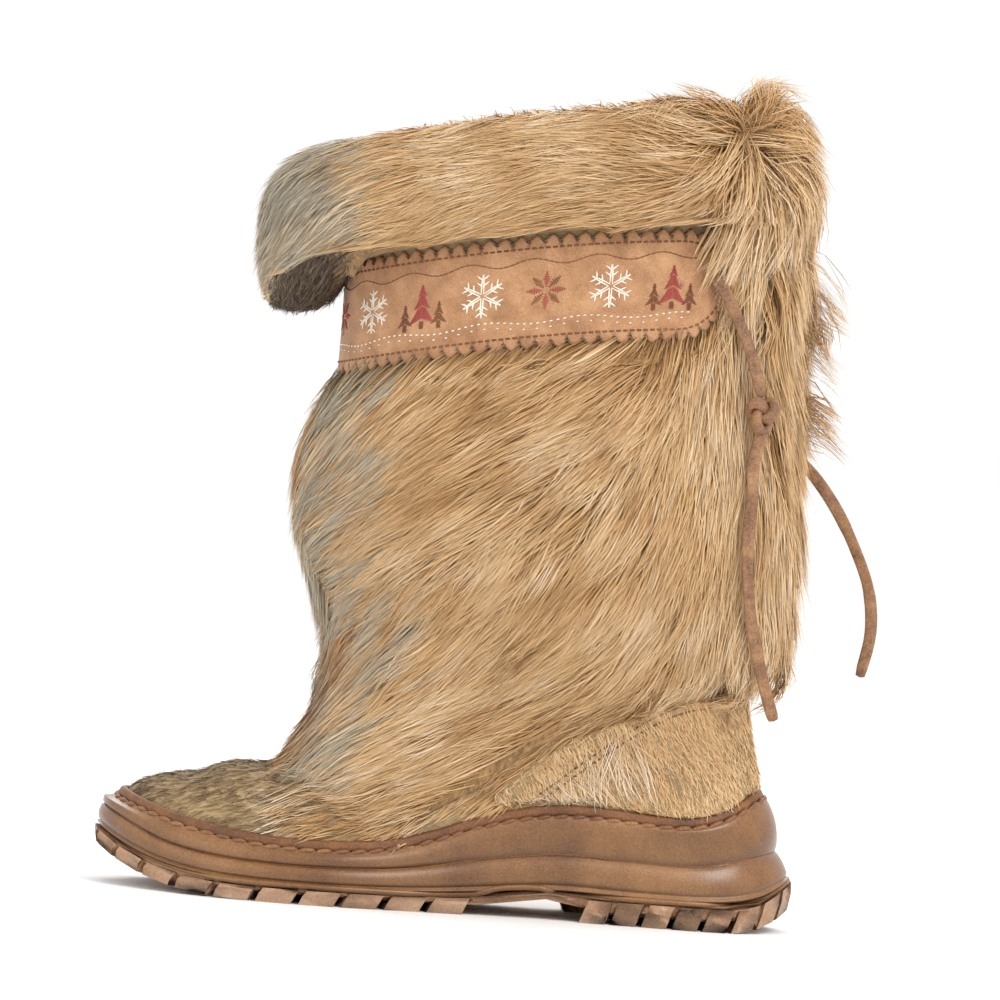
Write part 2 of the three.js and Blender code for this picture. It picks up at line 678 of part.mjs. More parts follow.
// Depth of the fur up the shaft, in shares of the fur depth: at the front, side and back. up
// runs from the hem to the band's upper edge.
const FUR_COAT = [
  { up: 0.0, front: 0.1, side: 0.12, back: 0.62 },
  { up: 0.05, front: 0.4, side: 0.34, back: 0.95 },
  { up: 0.17, front: 0.72, side: 0.6, back: 1.1 },
  { up: 0.33, front: 0.96, side: 0.8, back: 1.12 },
  { up: 0.5, front: 1.12, side: 0.86, back: 1.05 },
  { up: 0.66, front: 1.0, side: 0.8, back: 0.95 },
  { up: 0.77, front: 0.3, side: 0.34, back: 0.9 },
  { up: 1.0, front: 0.3, side: 0.3, back: 0.95 },
];
const RIPPLE = 1.1; // height of the fur's soft waves, which run down and forward
function coatDepth(up, turn) {
  const depth = (side) => read(FUR_COAT, side, up, "up");
  const ahead = (1 - Math.cos(turn)) / 2;
  const [back, front] = [1 - smooth(ahead, 0.01, 0.15), smooth(ahead, 0.72, 1)];
  const mean = depth("side") * (1 - back - front) + depth("back") * back + depth("front") * front;
  const wave = Math.sin(9 * Math.abs(Math.PI - turn) - 13 * up);
  return FUR_DEPTH * mean + RIPPLE * wave * Math.min(1, 4 * up * mean);
}

function shaftFur() {
  const bare = upperLevels().slice(1);
  const hull = FUR_COAT.map(({ up }) => ring(
    between(hemLine, bandHigh, up),
    (turn) => UNDER_FUR + 1 + coatDepth(up, turn),
  ));
  const xs = stationsFrom(HEEL_END - LOCK_WIDTH, TOE_END - LOCK_WIDTH, 24);
  const coatTop = (x) => bandHigh(x) - CLEARANCE * 2;
  const margin = BAND_MARGIN;
  const bandXs = [
    ...stationsFrom(BAND_END - margin, BAND_END + BAND_END_ROUND, 11),
    ...stationsFrom(BAND_END + 1.5 * BAND_END_ROUND, TOE_END - LOCK_DROP, 12),
  ];
  const bandHalf = (x) => bandShare(x + margin) * BAND_HEIGHT / 2 + margin;
  const bandRoom = sideCut(
    bandXs,
    (x) => bandMiddle(x) - bandHalf(x),
    (x) => bandMiddle(x) + bandHalf(x) + 3,
  );
  const locks = [];
  for (const { turn, up, drop, flare } of furLocks()) {
    const z = hemOver(turn, up);
    const deep = coatDepth(up, turn) + UNDER_FUR;
    const side = Math.sin(turn) > 0 ? 1 : -1;
    locks.push(solidOf(lock({
      turn,
      z,
      swing: side * 0.24 * Math.abs(Math.sin(turn)),
      drop,
      root: deep - LOCK_ROOT,
      tip: deep + flare,
      width: LOCK_WIDTH,
      thickness: LOCK_THICKNESS,
    })));
  }
  const coat = solidOf(stack(hull)).intersect(sideCut(xs, hemLine, coatTop)).subtract(bandRoom);
  return geometryFrom(wasm.Manifold.union([coat, ...locks]).subtract(formOver(bare, UNDER_FUR)));
}

// Height of a share of the way from the hem to the band's upper edge, at a turn.
function hemOver(turn, up) {
  const line = between(hemLine, bandHigh, up);
  return line(hide(turn, level(line)).x);
}
// Places of the locks: two tiers round the shaft, and two rows at the back.
function furLocks() {
  const locks = [];
  for (const [tier, up] of [0.58, 0.34].entries()) {
    for (let k = 0; k < 8; k += 1) {
      const turn = (2 * Math.PI * (k + 0.5 + tier / 2)) / 8;
      locks.push({ turn, up, drop: LOCK_DROP, flare: LOCK_FLARE });
    }
  }
  for (const turn of [-0.45, 0, 0.45]) {
    locks.push({ turn, up: 0.14, drop: 0.8 * LOCK_DROP, flare: LOCK_FLARE * 0.7 });
    locks.push({ turn, up: 0.92, drop: 0.85 * LOCK_DROP, flare: LOCK_FLARE * 2.3 });
  }
  return locks;
}

// The cuff: fur rolled over the collar's edge and down to the band, with a brow at the front.
// Rows run from the roll's top down its outside. up is 0 at the cuff's foot and 1 at the collar's
// edge; front, side and back are shares of the cuff's depth; sag lowers the brow.
const CUFF_COAT = [
  { up: 1.28, front: 0.1, side: 0.1, back: 0.06, sag: 0 },
  { up: 1.17, front: 0.95, side: 0.45, back: 0.24, sag: 0 },
  { up: 0.95, front: 2.0, side: 0.8, back: 0.46, sag: 0 },
  { up: 0.68, front: 2.45, side: 1.0, back: 0.65, sag: 0 },
  { up: 0.34, front: 2.5, side: 0.96, back: 1.12, sag: 0.1 },
  { up: 0.02, front: 2.35, side: 0.78, back: 1.0, sag: 0.7 },
  { up: 0.0, front: 1.5, side: 0.3, back: 0.6, sag: 1 },
];
const BROW_SAG = 31; // how far the fur hangs down before the band
const sagAt = (x) => BROW_SAG * smooth(shaftPlace(x), 0.93, 1.01);
const cuffFoot = (x) => bandHigh(x) + 1;
const cuffDepth = (row) => (turn) => {
  const ahead = (1 - Math.cos(turn)) / 2;
  const [back, front] = [1 - smooth(ahead, 0.0, 0.2), smooth(ahead, 0.8, 1)];
  const mean = row.side * (1 - back - front) + row.back * back + row.front * front;
  return UNDER_FUR + CUFF_DEPTH * mean;
};

function cuffFur() {
  const lifted = (rise) => (x) => collar(x) + rise;
  const inside = -WALL - UNDER_FUR;
  const outside = CUFF_COAT.map((row) => ring(
    (x) => lerp(cuffFoot(x), collar(x), row.up) - row.sag * sagAt(x),
    cuffDepth(row),
  ));
  // Under the brow the fur hangs close before the band.
  const overBand = 2 * CLEARANCE + BAND_THICKNESS + UNDER_FUR + 0.4;
  outside.push(
    ring((x) => cuffFoot(x) - 0.92 * sagAt(x) - CLEARANCE, overBand),
    ring(cuffFoot, overBand),
  );
  const roll = sleeve([
    ring(cuffFoot, UNDER_FUR),
    ring(between(cuffFoot, collar, 0.5), UNDER_FUR),
    ring(lifted(CLEARANCE), UNDER_FUR),
    ring(lifted(CLEARANCE), inside),
    ring(lifted(-9), inside),
    ring(lifted(-8), inside - 4),
    ring(lifted(CUFF_RISE * 0.6), inside - 2),
    ...outside,
  ]);
  const locks = [];
  const count = 14;
  for (let k = 0; k < count; k += 1) {
    const turn = (2 * Math.PI * (k + 0.5)) / count;
    if (Math.cos(turn) > 0.75) continue;
    const side = Math.sin(turn) > 0 ? 1 : -1;
    const out = cuffDepth(CUFF_COAT[4])(turn);
    const brow = smooth(-Math.cos(turn), 0.6, 1);
    locks.push(lock({
      turn,
      z: cuffFoot(hide(turn, level(cuffFoot)).x) + lerp(22, 0, brow),
      swing: side * 0.3 * Math.abs(Math.sin(turn)),
      drop: lerp(30, 24, brow),
      root: out - 3.5,
      tip: lerp(8, out - 9, brow),
      width: 30,
      thickness: 9,
    }));
  }
  return fuse([roll, ...locks]);
}

// Thongs: a flat leather strip from each end of the band to a knot, and a tail below it. The
// outer tail hangs down along the fur, and the inner one swings out behind the boot.
const OUTER_DROP = [
  [2, 49.4, 262], [-3, 50.6, 256], [-8, 51, 247], [-13, 50.8, 237], [-17, 51.8, 226],
  [-20, 53.5, 216.5],
];
const OUTER_TAIL = [
  [-21.5, 53.5, 202.4], [-18.8, 52, 190], [-19.5, 50.8, 176], [-19, 50.4, 160],
  [-20, 48, 144], [-23, 44, 126], [-27, 40, 111], [-31, 37, 98], [-35, 35, 87],
];
const INNER_DROP = [
  [2, -49.4, 262], [-3, -50.6, 256], [-8, -51, 247], [-13, -50.8, 237], [-18, -51.8, 226],
  [-22, -53.5, 216.5],
];
const INNER_TAIL = [
  [-27, -53, 202.4], [-35, -51.4, 194.4], [-46, -48, 185], [-57, -46, 171], [-66, -44, 155],
  [-72.5, -43, 139], [-74.5, -42, 122], [-71.5, -41, 104],
];

function strap(points) {
  const path = new THREE.CatmullRomCurve3(points.map(([x, y, z]) => new THREE.Vector3(x, y, z)));
  const [w, t] = [THONG_WIDTH / 2, THONG_THICKNESS / 2];
  const shape = new THREE.Shape([
    new THREE.Vector2(-t, -w * 0.7), new THREE.Vector2(-t * 0.5, -w), new THREE.Vector2(t * 0.5, -w),
    new THREE.Vector2(t, -w * 0.7), new THREE.Vector2(t, w * 0.7), new THREE.Vector2(t * 0.5, w),
    new THREE.Vector2(-t * 0.5, w), new THREE.Vector2(-t, w * 0.7),
  ]);
  const steps = Math.max(6, Math.round(path.getLength() / 12));
  return new THREE.ExtrudeGeometry(shape, { steps, extrudePath: path });
}

function knot(above, below) {
  const [top, bottom] = [new THREE.Vector3(...above), new THREE.Vector3(...below)];
  const middle = top.clone().add(bottom).multiplyScalar(0.5);
  const half = top.distanceTo(bottom) / 2 - 0.5;
  const profile = [
    [0, -half], [KNOT_RADIUS * 0.62, -half * 0.82], [KNOT_RADIUS * 0.94, -half * 0.4],
    [KNOT_RADIUS * 0.86, 0], [KNOT_RADIUS, half * 0.4], [KNOT_RADIUS * 0.66, half * 0.84], [0, half],
  ].map(([r, h]) => new THREE.Vector2(r, h));
  const along = top.sub(bottom).normalize();
  const lean = new THREE.Quaternion().setFromUnitVectors(new THREE.Vector3(0, 1, 0), along);
  return new THREE.LatheGeometry(profile, 10).applyQuaternion(lean)
    .translate(middle.x, middle.y, middle.z);
}

const FINISHES = {
  rubber: { color: 0x8a6446, roughness: 0.55, metalness: 0 },
  cupRubber: { color: 0x94694a, roughness: 0.42, metalness: 0 },
  weltLeather: { color: 0x7a4f30, roughness: 0.7, metalness: 0 },
  shortHair: { color: 0xb9a07a, roughness: 0.9, metalness: 0 },
  longFur: { color: 0xc9ac80, roughness: 0.95, metalness: 0 },
  bandSuede: { color: 0xa98263, roughness: 0.85, metalness: 0 },
  thongLeather: { color: 0x86664c, roughness: 0.75, metalness: 0 },
  felt: { color: 0xd8d0bf, roughness: 1, metalness: 0 },
};

const boot = new THREE.Group();
function piece(name, finish, geometry) {
  const mesh = new THREE.Mesh(geometry, new THREE.MeshStandardMaterial(FINISHES[finish]));
  mesh.name = name;
  boot.add(mesh);
}

piece("outsole", "rubber", outsole());
piece("cup_sidewall", "cupRubber", cup());
piece("welt_strip", "weltLeather", welt());
piece("insole", "felt", insole());
piece("upper", "shortHair", upper());
piece("heel_counter", "shortHair", counter());
piece("shaft_fur", "longFur", shaftFur());
piece("cuff_fur", "longFur", cuffFur());
piece("band", "bandSuede", band());
for (const [side, drop, tail] of [
  ["outer", OUTER_DROP, OUTER_TAIL],
  ["inner", INNER_DROP, INNER_TAIL],
]) {
  piece(`thong_${side}`, "thongLeather", strap(drop));
  piece(`knot_${side}`, "thongLeather", knot(drop.at(-1), tail[0]));
  piece(`tail_${side}`, "thongLeather", strap(tail));
}

export default boot;
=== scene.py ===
"""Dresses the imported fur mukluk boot: moulded sole, hide, band, thongs and all of its fur."""

from __future__ import annotations

import logging
import math
from collections.abc import Callable
from dataclasses import dataclass, field
from enum import Enum

import bmesh
import bpy
import numpy as np
from mathutils import Matrix, Vector
from mathutils.bvhtree import BVHTree


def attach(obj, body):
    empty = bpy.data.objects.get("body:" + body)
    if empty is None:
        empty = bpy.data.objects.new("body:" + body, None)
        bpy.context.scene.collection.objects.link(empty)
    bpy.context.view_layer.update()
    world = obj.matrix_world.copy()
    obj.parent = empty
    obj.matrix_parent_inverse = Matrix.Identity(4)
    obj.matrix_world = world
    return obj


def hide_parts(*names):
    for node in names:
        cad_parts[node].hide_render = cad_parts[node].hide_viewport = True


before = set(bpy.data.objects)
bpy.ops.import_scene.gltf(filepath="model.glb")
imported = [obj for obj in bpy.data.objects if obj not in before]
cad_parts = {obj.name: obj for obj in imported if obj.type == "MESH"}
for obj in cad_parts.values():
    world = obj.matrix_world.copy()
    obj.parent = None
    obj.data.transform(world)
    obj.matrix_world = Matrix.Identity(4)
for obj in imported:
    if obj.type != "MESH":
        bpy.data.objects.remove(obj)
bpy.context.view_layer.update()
LOG = logging.getLogger("boot")

MM = 0.001
BODY = "root"
TINY = 1e-9
Array = np.ndarray
Flow = Callable[[Array, Array], Array]  # gives values from places and their normals


# Numbers and nodes
def srgb(code: str) -> tuple[float, float, float, float]:
    """Turns an sRGB hex value to linear colour.

    Args:
        code: six hex digits.

    Returns:
        Linear red, green and blue, and an alpha of 1.
    """
    parts = [int(code[k : k + 2], 16) / 255 for k in (0, 2, 4)]
    linear = [p / 12.92 if p <= 0.04045 else ((p + 0.055) / 1.055) ** 2.4 for p in parts]
    return (*linear, 1.0)


def unit(vectors: Array) -> Array:
    """Gives vectors of length 1 along the last axis."""
    length = np.linalg.norm(vectors, axis=-1, keepdims=True)
    return vectors / np.maximum(length, TINY)


def smooth(at: Array | float, low: float, high: float) -> Array | float:
    """Rises smoothly from 0 at low to 1 at high."""
    t = np.clip((at - low) / (high - low), 0.0, 1.0)
    return t * t * (3 - 2 * t)


def through(at: Array, places: Array, values: Array) -> Array:
    """Reads a smooth curve that passes through values without overshoot.

    Args:
        at: where to read it.
        places: where the values lie, rising.
        values: the values.

    Returns:
        The curve's heights.
    """
    pitch = np.diff(values) / np.diff(places)
    before, after = pitch[:-1], pitch[1:]
    same = before * after > 0
    inner = np.where(same, 2 * before * after / np.where(same, before + after, 1.0), 0.0)
    slope = np.concatenate([pitch[:1], inner, pitch[-1:]])
    row = np.clip(np.searchsorted(places, at) - 1, 0, len(pitch) - 1)
    span = places[row + 1] - places[row]
    t = np.clip((at - places[row]) / span, 0, 1)
    rise = t * t * (3 - 2 * t)
    ends = (t**3 - 2 * t**2 + t) * slope[row] + (t**3 - t**2) * slope[row + 1]
    return values[row] * (1 - rise) + values[row + 1] * rise + ends * span


def add_node(
    tree: bpy.types.NodeTree, kind: str, settings: dict | None = None, **links: object
) -> bpy.types.Node:
    """Adds a shader node.

    Args:
        tree: the material's node tree.
        kind: the node type without its ShaderNode prefix.
        settings: values for sockets or properties; stops fills a colour ramp.
        links: source sockets by input name, with _ for a space.

    Returns:
        The new node.
    """
    made = tree.nodes.new("ShaderNode" + kind)
    for name, value in (settings or {}).items():
        if name == "stops":
            ramp = made.color_ramp
            while len(ramp.elements) < len(value):
                ramp.elements.new(0.5)
            for element, (place, code) in zip(ramp.elements, value):
                element.position = place
                element.color = srgb(code)
        elif isinstance(name, int) or name in made.inputs:
            made.inputs[name].default_value = value
        else:
            setattr(made, name, value)
    for name, source in links.items():
        place = int(name[1:]) if name[0] == "i" and name[1:].isdigit() else name.replace("_", " ")
        tree.links.new(source, made.inputs[place])
    return made


# Finishes
HAIR_MAP = "OFBake"
GRAIN_STOPS = (0.34, 0.5, 0.66)  # where a grain's dark, middle and light tones lie
DUST_SHARE = 0.5  # most that dust covers
SLOPE = 0.35  # how far a face tilts before it counts as facing down or up


@dataclass(frozen=True)
class Finish:
    """What every finish has: a name, a roughness and a refractive index."""

    name: str
    roughness: float = 0.6
    ior: float = 1.5
    coat: float = 0.0
    coat_roughness: float = 0.3
    sheen: float = 0.0

    def begin(self) -> tuple[bpy.types.Material, bpy.types.NodeTree, bpy.types.Node]:
        """Starts the material.

        Returns:
            The material, its tree and its surface shader.
        """
        material = bpy.data.materials.new(self.name)
        material.use_nodes = True
        tree = material.node_tree
        tree.nodes.clear()
        shader = add_node(
            tree,
            "BsdfPrincipled",
            {
                "Roughness": self.roughness,
                "IOR": self.ior,
                "Coat Weight": self.coat,
                "Coat Roughness": self.coat_roughness,
                "Sheen Weight": self.sheen,
                "Sheen Roughness": 0.5,
            },
        )
        add_node(tree, "OutputMaterial", Surface=shader.outputs["BSDF"])
        return material, tree, shader


@dataclass(frozen=True)
class HairFinish(Finish):
    """Single hairs. The map's U picks the hair's tone and V runs from its root to its tip, where
    the depth ramp paints shade that darkens the hair towards its root.
    """

    tones: tuple[tuple[float, str], ...] = ()
    # The depth ramp is painted shade, darkest at the root deep in the coat.
    depth: tuple[tuple[float, str], ...] = ((0.0, "7A664C"), (0.5, "CDBFA9"), (1.0, "FFFFFF"))

    def make(self) -> bpy.types.Material:
        """Builds the material.

        Returns:
            The hair's material.
        """
        material, tree, shader = self.begin()
        place = add_node(tree, "UVMap", {"uv_map": HAIR_MAP})
        parts = add_node(tree, "SeparateXYZ", Vector=place.outputs["UV"])
        tone = add_node(tree, "ValToRGB", {"stops": self.tones}, Fac=parts.outputs["X"])
        # Painted shade towards the root, from the depth ramp.
        along = add_node(tree, "ValToRGB", {"stops": self.depth}, Fac=parts.outputs["Y"])
        colour = add_node(
            tree,
            "MixRGB",
            {"blend_type": "MULTIPLY", "Fac": 1.0},
            Color1=tone.outputs["Color"],
            Color2=along.outputs["Color"],
        )
        tree.links.new(colour.outputs["Color"], shader.inputs["Base Color"])
        return material


@dataclass(frozen=True)
class GrainFinish(Finish):
    """A surface with a grain, soft blotches, dust near the floor if asked, and painted shade by
    facing.
    """

    tones: tuple[str, str, str] = ("000000", "808080", "FFFFFF")
    grain_mm: float = 1.0
    blotch_mm: float = 25.0
    stretch: tuple[float, float, float] = (1.0, 1.0, 1.0)
    bump_mm: float = 0.1
    rough_spread: float = 0.1
    dust: str = ""
    dust_height_mm: float = 8.0
    painted_up_down_shade: float = 0.0

    def make(self) -> bpy.types.Material:
        """Builds the material.

        Returns:
            The grained material.
        """
        material, tree, shader = self.begin()
        place = add_node(tree, "TexCoord").outputs["Object"]
        stretched = add_node(tree, "Mapping", {"Scale": self.stretch}, Vector=place)
        grain = add_node(
            tree,
            "TexNoise",
            {"Scale": 1 / (self.grain_mm * MM), "Detail": 4.0, "Roughness": 0.6},
            Vector=stretched.outputs["Vector"],
        )
        blotch = add_node(
            tree,
            "TexNoise",
            {"Scale": 1 / (self.blotch_mm * MM), "Detail": 3.0, "Roughness": 0.55},
            Vector=place,
        )
        half = add_node(tree, "Math", {"operation": "MULTIPLY", 1: 0.5}, i0=blotch.outputs["Fac"])
        both = add_node(
            tree,
            "Math",
            {"operation": "MULTIPLY_ADD", 1: 0.5},
            i0=grain.outputs["Fac"],
            i2=half.outputs[0],
        )
        colour = add_node(
            tree,
            "ValToRGB",
            {"stops": tuple(zip(GRAIN_STOPS, self.tones))},
            Fac=both.outputs[0],
        ).outputs["Color"]
        if self.dust:
            height = add_node(tree, "SeparateXYZ", Vector=place).outputs["Z"]
            fade = add_node(
                tree,
                "MapRange",
                {"From Max": self.dust_height_mm * MM, "To Min": DUST_SHARE, "To Max": 0.0},
                Value=height,
            )
            worn = add_node(
                tree,
                "Math",
                {"operation": "MULTIPLY"},
                i0=fade.outputs["Result"],
                i1=grain.outputs["Fac"],
            )
            colour = add_node(
                tree,
                "MixRGB",
                {"Color2": srgb(self.dust)},
                Fac=worn.outputs[0],
                Color1=colour,
            ).outputs["Color"]
        # Painted shade and light: faces that look down are darkened, faces that look up are
        # lightened.
        if self.painted_up_down_shade:
            geometry = add_node(tree, "NewGeometry")
            facing = add_node(tree, "SeparateXYZ", Vector=geometry.outputs["Normal"])
            kept = add_node(
                tree,
                "MapRange",
                {
                    "From Min": -SLOPE,
                    "From Max": SLOPE,
                    "To Min": 1 - self.painted_up_down_shade,
                    "To Max": 1 + self.painted_up_down_shade / 3,
                },
                Value=facing.outputs["Z"],
            )
            colour = add_node(
                tree,
                "MixRGB",
                {"blend_type": "MULTIPLY", "Fac": 1.0},
                Color1=colour,
                Color2=kept.outputs["Result"],
            ).outputs["Color"]
        tree.links.new(colour, shader.inputs["Base Color"])
        rough = add_node(
            tree,
            "MapRange",
            {
                "From Min": 0.3,
                "From Max": 0.7,
                "To Min": self.roughness - self.rough_spread,
                "To Max": min(1.0, self.roughness + self.rough_spread),
            },
            Value=blotch.outputs["Fac"],
        )
        tree.links.new(rough.outputs["Result"], shader.inputs["Roughness"])
        bump = add_node(
            tree,
            "Bump",
            {"Strength": 1.0, "Distance": self.bump_mm * MM},
            Height=grain.outputs["Fac"],
        )
        tree.links.new(bump.outputs["Normal"], shader.inputs["Normal"])
        return material


# Long goat hair, straw to cream, with painted shade darkening it towards the root, so that locks
# read light on dark. The last two tones are the cooler grey of the front, partly the hair's own
# grey and partly painted shade.
LONG_HAIR = HairFinish(
    "goat_hair_long",
    roughness=0.48,
    ior=1.45,
    tones=(
        (0.0, "785432"),
        (0.22, "AE8452"),
        (0.45, "D2AC79"),
        (0.65, "E6C99E"),
        (0.8, "F5E6CF"),
        (0.86, "8A8374"),
        (1.0, "C9C0AC"),
    ),
    depth=((0.0, "8F7857"), (0.45, "DDCDB5"), (1.0, "FFFFFF")),
)
# Hair under the cuff's brow: a dark grey-brown copy of the hair, painted shade for the hollow under
# the brow.
BROW_HAIR = HairFinish(
    "goat_hair_painted_shade",
    roughness=0.5,
    ior=1.45,
    tones=((0.0, "453A30"), (0.5, "6B5D4E"), (1.0, "98866E")),
    depth=((0.0, "8F8272"), (0.5, "D5CCC0"), (1.0, "FFFFFF")),
)
# Clipped goat hair of the toe lies flat, so its painted root shade stays light and it reads as an
# olive nap.
TOE_HAIR = HairFinish(
    "goat_hair_short_olive",
    roughness=0.5,
    ior=1.45,
    tones=((0.0, "54432F"), (0.3, "7E6849"), (0.6, "9E8560"), (0.85, "BAA07C"), (1.0, "CFBA96")),
    depth=((0.0, "CFC3AD"), (0.6, "EDE6DA"), (1.0, "FFFFFF")),
)
# Clipped goat hair of the heel panel: pale tan, and white in the wisps over its seam.
PANEL_HAIR = HairFinish(
    "goat_hair_short_tan",
    roughness=0.5,
    ior=1.45,
    tones=((0.0, "AD8657"), (0.35, "D8B383"), (0.65, "ECCC9F"), (0.85, "F5E2C2"), (1.0, "FDF8F2")),
    depth=((0.0, "C8B598"), (0.6, "EEE6D8"), (1.0, "FFFFFF")),
)
# Matted wool below the long hair shows only as shade between the locks.
UNDERCOAT = GrainFinish(
    "goat_underwool",
    roughness=0.9,
    tones=("5E4629", "947248", "BC9765"),
    grain_mm=1.6,
    stretch=(1.0, 1.0, 0.35),
    bump_mm=0.8,
    sheen=0.1,
)
# Tanned hide with its hair clipped short: streaked along the foot.
HIDE = GrainFinish(
    "clipped_hide",
    roughness=0.75,
    tones=("7E6445", "99805A", "B3976F"),
    grain_mm=1.1,
    stretch=(0.35, 1.0, 1.0),
    bump_mm=0.35,
)
# Pressed wool felt: matt, with soft lumps.
LINING = GrainFinish(
    "wool_felt_lining",
    roughness=0.95,
    tones=("B5AA97", "D3CAB9", "EBE5D8"),
    grain_mm=2.2,
    bump_mm=0.9,
    sheen=0.2,
)
# Moulded rubber of the cup: satin gloss, uneven in tone, with painted shade on faces looking down,
# painted light on those looking up.
CUP_RUBBER = GrainFinish(
    "moulded_cup_rubber",
    roughness=0.33,
    ior=1.52,
    tones=("5B3819", "7A522C", "94693B"),
    grain_mm=0.7,
    blotch_mm=30.0,
    bump_mm=0.03,
    rough_spread=0.07,
    coat=0.12,
    coat_roughness=0.2,
    # Painted shade on faces that look down and painted light on faces that look up.
    painted_up_down_shade=0.36,
)
# Moulded rubber of the tread: a little lighter and duller, with dust near the floor.
TREAD_RUBBER = GrainFinish(
    "moulded_tread_rubber",
    roughness=0.45,
    ior=1.52,
    tones=("7C5940", "A47C5C", "BD9976"),
    grain_mm=0.9,
    bump_mm=0.05,
    dust="A89888",
    dust_height_mm=7.0,
    coat=0.15,
)
# Waxed welt leather: dark, with a fine pore.
WELT_LEATHER = GrainFinish(
    "waxed_welt_leather",
    roughness=0.55,
    tones=("4C2C15", "704523", "8C5E34"),
    grain_mm=0.8,
    blotch_mm=12.0,
    bump_mm=0.12,
)
# Split suede: matt, with a short nap that blotches light and dark.
BAND_SUEDE = GrainFinish(
    "split_suede",
    roughness=0.88,
    tones=("8A613F", "A97C57", "C2976F"),
    grain_mm=0.5,
    blotch_mm=9.0,
    bump_mm=0.12,
    sheen=0.15,
)
# Leather cut in strips for the thongs: worn lighter in patches.
THONG_LEATHER = GrainFinish(
    "cut_thong_leather",
    roughness=0.65,
    tones=("5A3D28", "8A6344", "AA825C"),
    grain_mm=0.8,
    blotch_mm=6.0,
    bump_mm=0.15,
)
# Waxed linen thread of the welt, laid thick like a rope: a dull shine on each stitch.
WAXED_THREAD = GrainFinish(
    "waxed_sole_thread",
    roughness=0.45,
    tones=("4E2E18", "7C502E", "A67C50"),
    grain_mm=0.5,
    bump_mm=0.1,
)
# Spun cotton threads of the seams and the frieze, with a fine twist.
BROWN_THREAD = GrainFinish(
    "brown_cotton_thread",
    roughness=0.7,
    tones=("4F2C18", "774628", "93603C"),
    grain_mm=0.4,
    bump_mm=0.08,
)
RED_THREAD = GrainFinish(
    "red_cotton_thread",
    roughness=0.65,
    tones=("7A2A22", "A0403A", "B85A50"),
    grain_mm=0.4,
    stretch=(3.0, 3.0, 1.0),
    bump_mm=0.12,
)
WHITE_THREAD = GrainFinish(
    "white_cotton_thread",
    roughness=0.65,
    tones=("CBBDA8", "E8DDCB", "F7F1E6"),
    grain_mm=0.4,
    stretch=(3.0, 3.0, 1.0),
    bump_mm=0.12,
)
# Matt paper of the floor: it clips to white under the lights.
PAPER = GrainFinish(
    "pale_floor",
    roughness=0.95,
    tones=("F8F8F7", "FAFAFA", "FCFCFC"),
    grain_mm=40.0,
    bump_mm=0.0,
)


# Meshes
WELD_MM = 0.02  # points nearer than this are one
FLAT_DEGREES = 30  # triangles flatter than this join to a quad
SQUARE_DEGREES = 70  # how far a quad's corners may be from square


def mesh_object(
    name: str,
    points: Array,
    triangles: Array,
    material: bpy.types.Material,
    slot: str | None,
    hair_map: Array | None = None,
) -> bpy.types.Object:
    """Makes an object of triangles, which rides on the boot unless it is part of the stage.

    Args:
        name: the piece's name.
        points: one row of coordinates a point, in metres.
        triangles: one row of point numbers a triangle.
        material: its material.
        slot: a name for its material slot, only checked to tell boot pieces from the stage (None).
        hair_map: a map coordinate for each point, for hair.

    Returns:
        The new object.
    """
    mesh = bpy.data.meshes.new(name)
    count = len(triangles)
    mesh.vertices.add(len(points))
    mesh.vertices.foreach_set("co", np.ascontiguousarray(points, dtype=np.float32).ravel())
    mesh.loops.add(count * 3)
    corners = np.ascontiguousarray(triangles, dtype=np.int32).ravel()
    mesh.loops.foreach_set("vertex_index", corners)
    mesh.polygons.add(count)
    mesh.polygons.foreach_set("loop_start", np.arange(0, count * 3, 3, dtype=np.int32))
    mesh.polygons.foreach_set("use_smooth", np.ones(count, dtype=bool))
    mesh.update(calc_edges=True)
    if hair_map is not None:
        layer = mesh.uv_layers.new(name=HAIR_MAP)
        layer.data.foreach_set("uv", hair_map[corners].astype(np.float32).ravel())
    mesh.materials.append(material)
    made = bpy.data.objects.new(name, mesh)
    bpy.context.collection.objects.link(made)
    if slot:
        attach(made, BODY)
    LOG.info("%s: %d triangles", name, count)
    return made


def read_mesh(source: bpy.types.Object) -> tuple[Array, Array]:
    """Reads an object's points and triangles, with its modifiers.

    Args:
        source: a mesh object whose place is in its mesh.

    Returns:
        Points in metres and triangles as point numbers.
    """
    evaluated = source.evaluated_get(bpy.context.evaluated_depsgraph_get())
    mesh = evaluated.to_mesh()
    mesh.calc_loop_triangles()
    points = np.empty(len(mesh.vertices) * 3)
    mesh.vertices.foreach_get("co", points)
    triangles = np.empty(len(mesh.loop_triangles) * 3, dtype=np.int32)
    mesh.loop_triangles.foreach_get("vertices", triangles)
    evaluated.to_mesh_clear()
    return points.reshape(-1, 3), triangles.reshape(-1, 3)


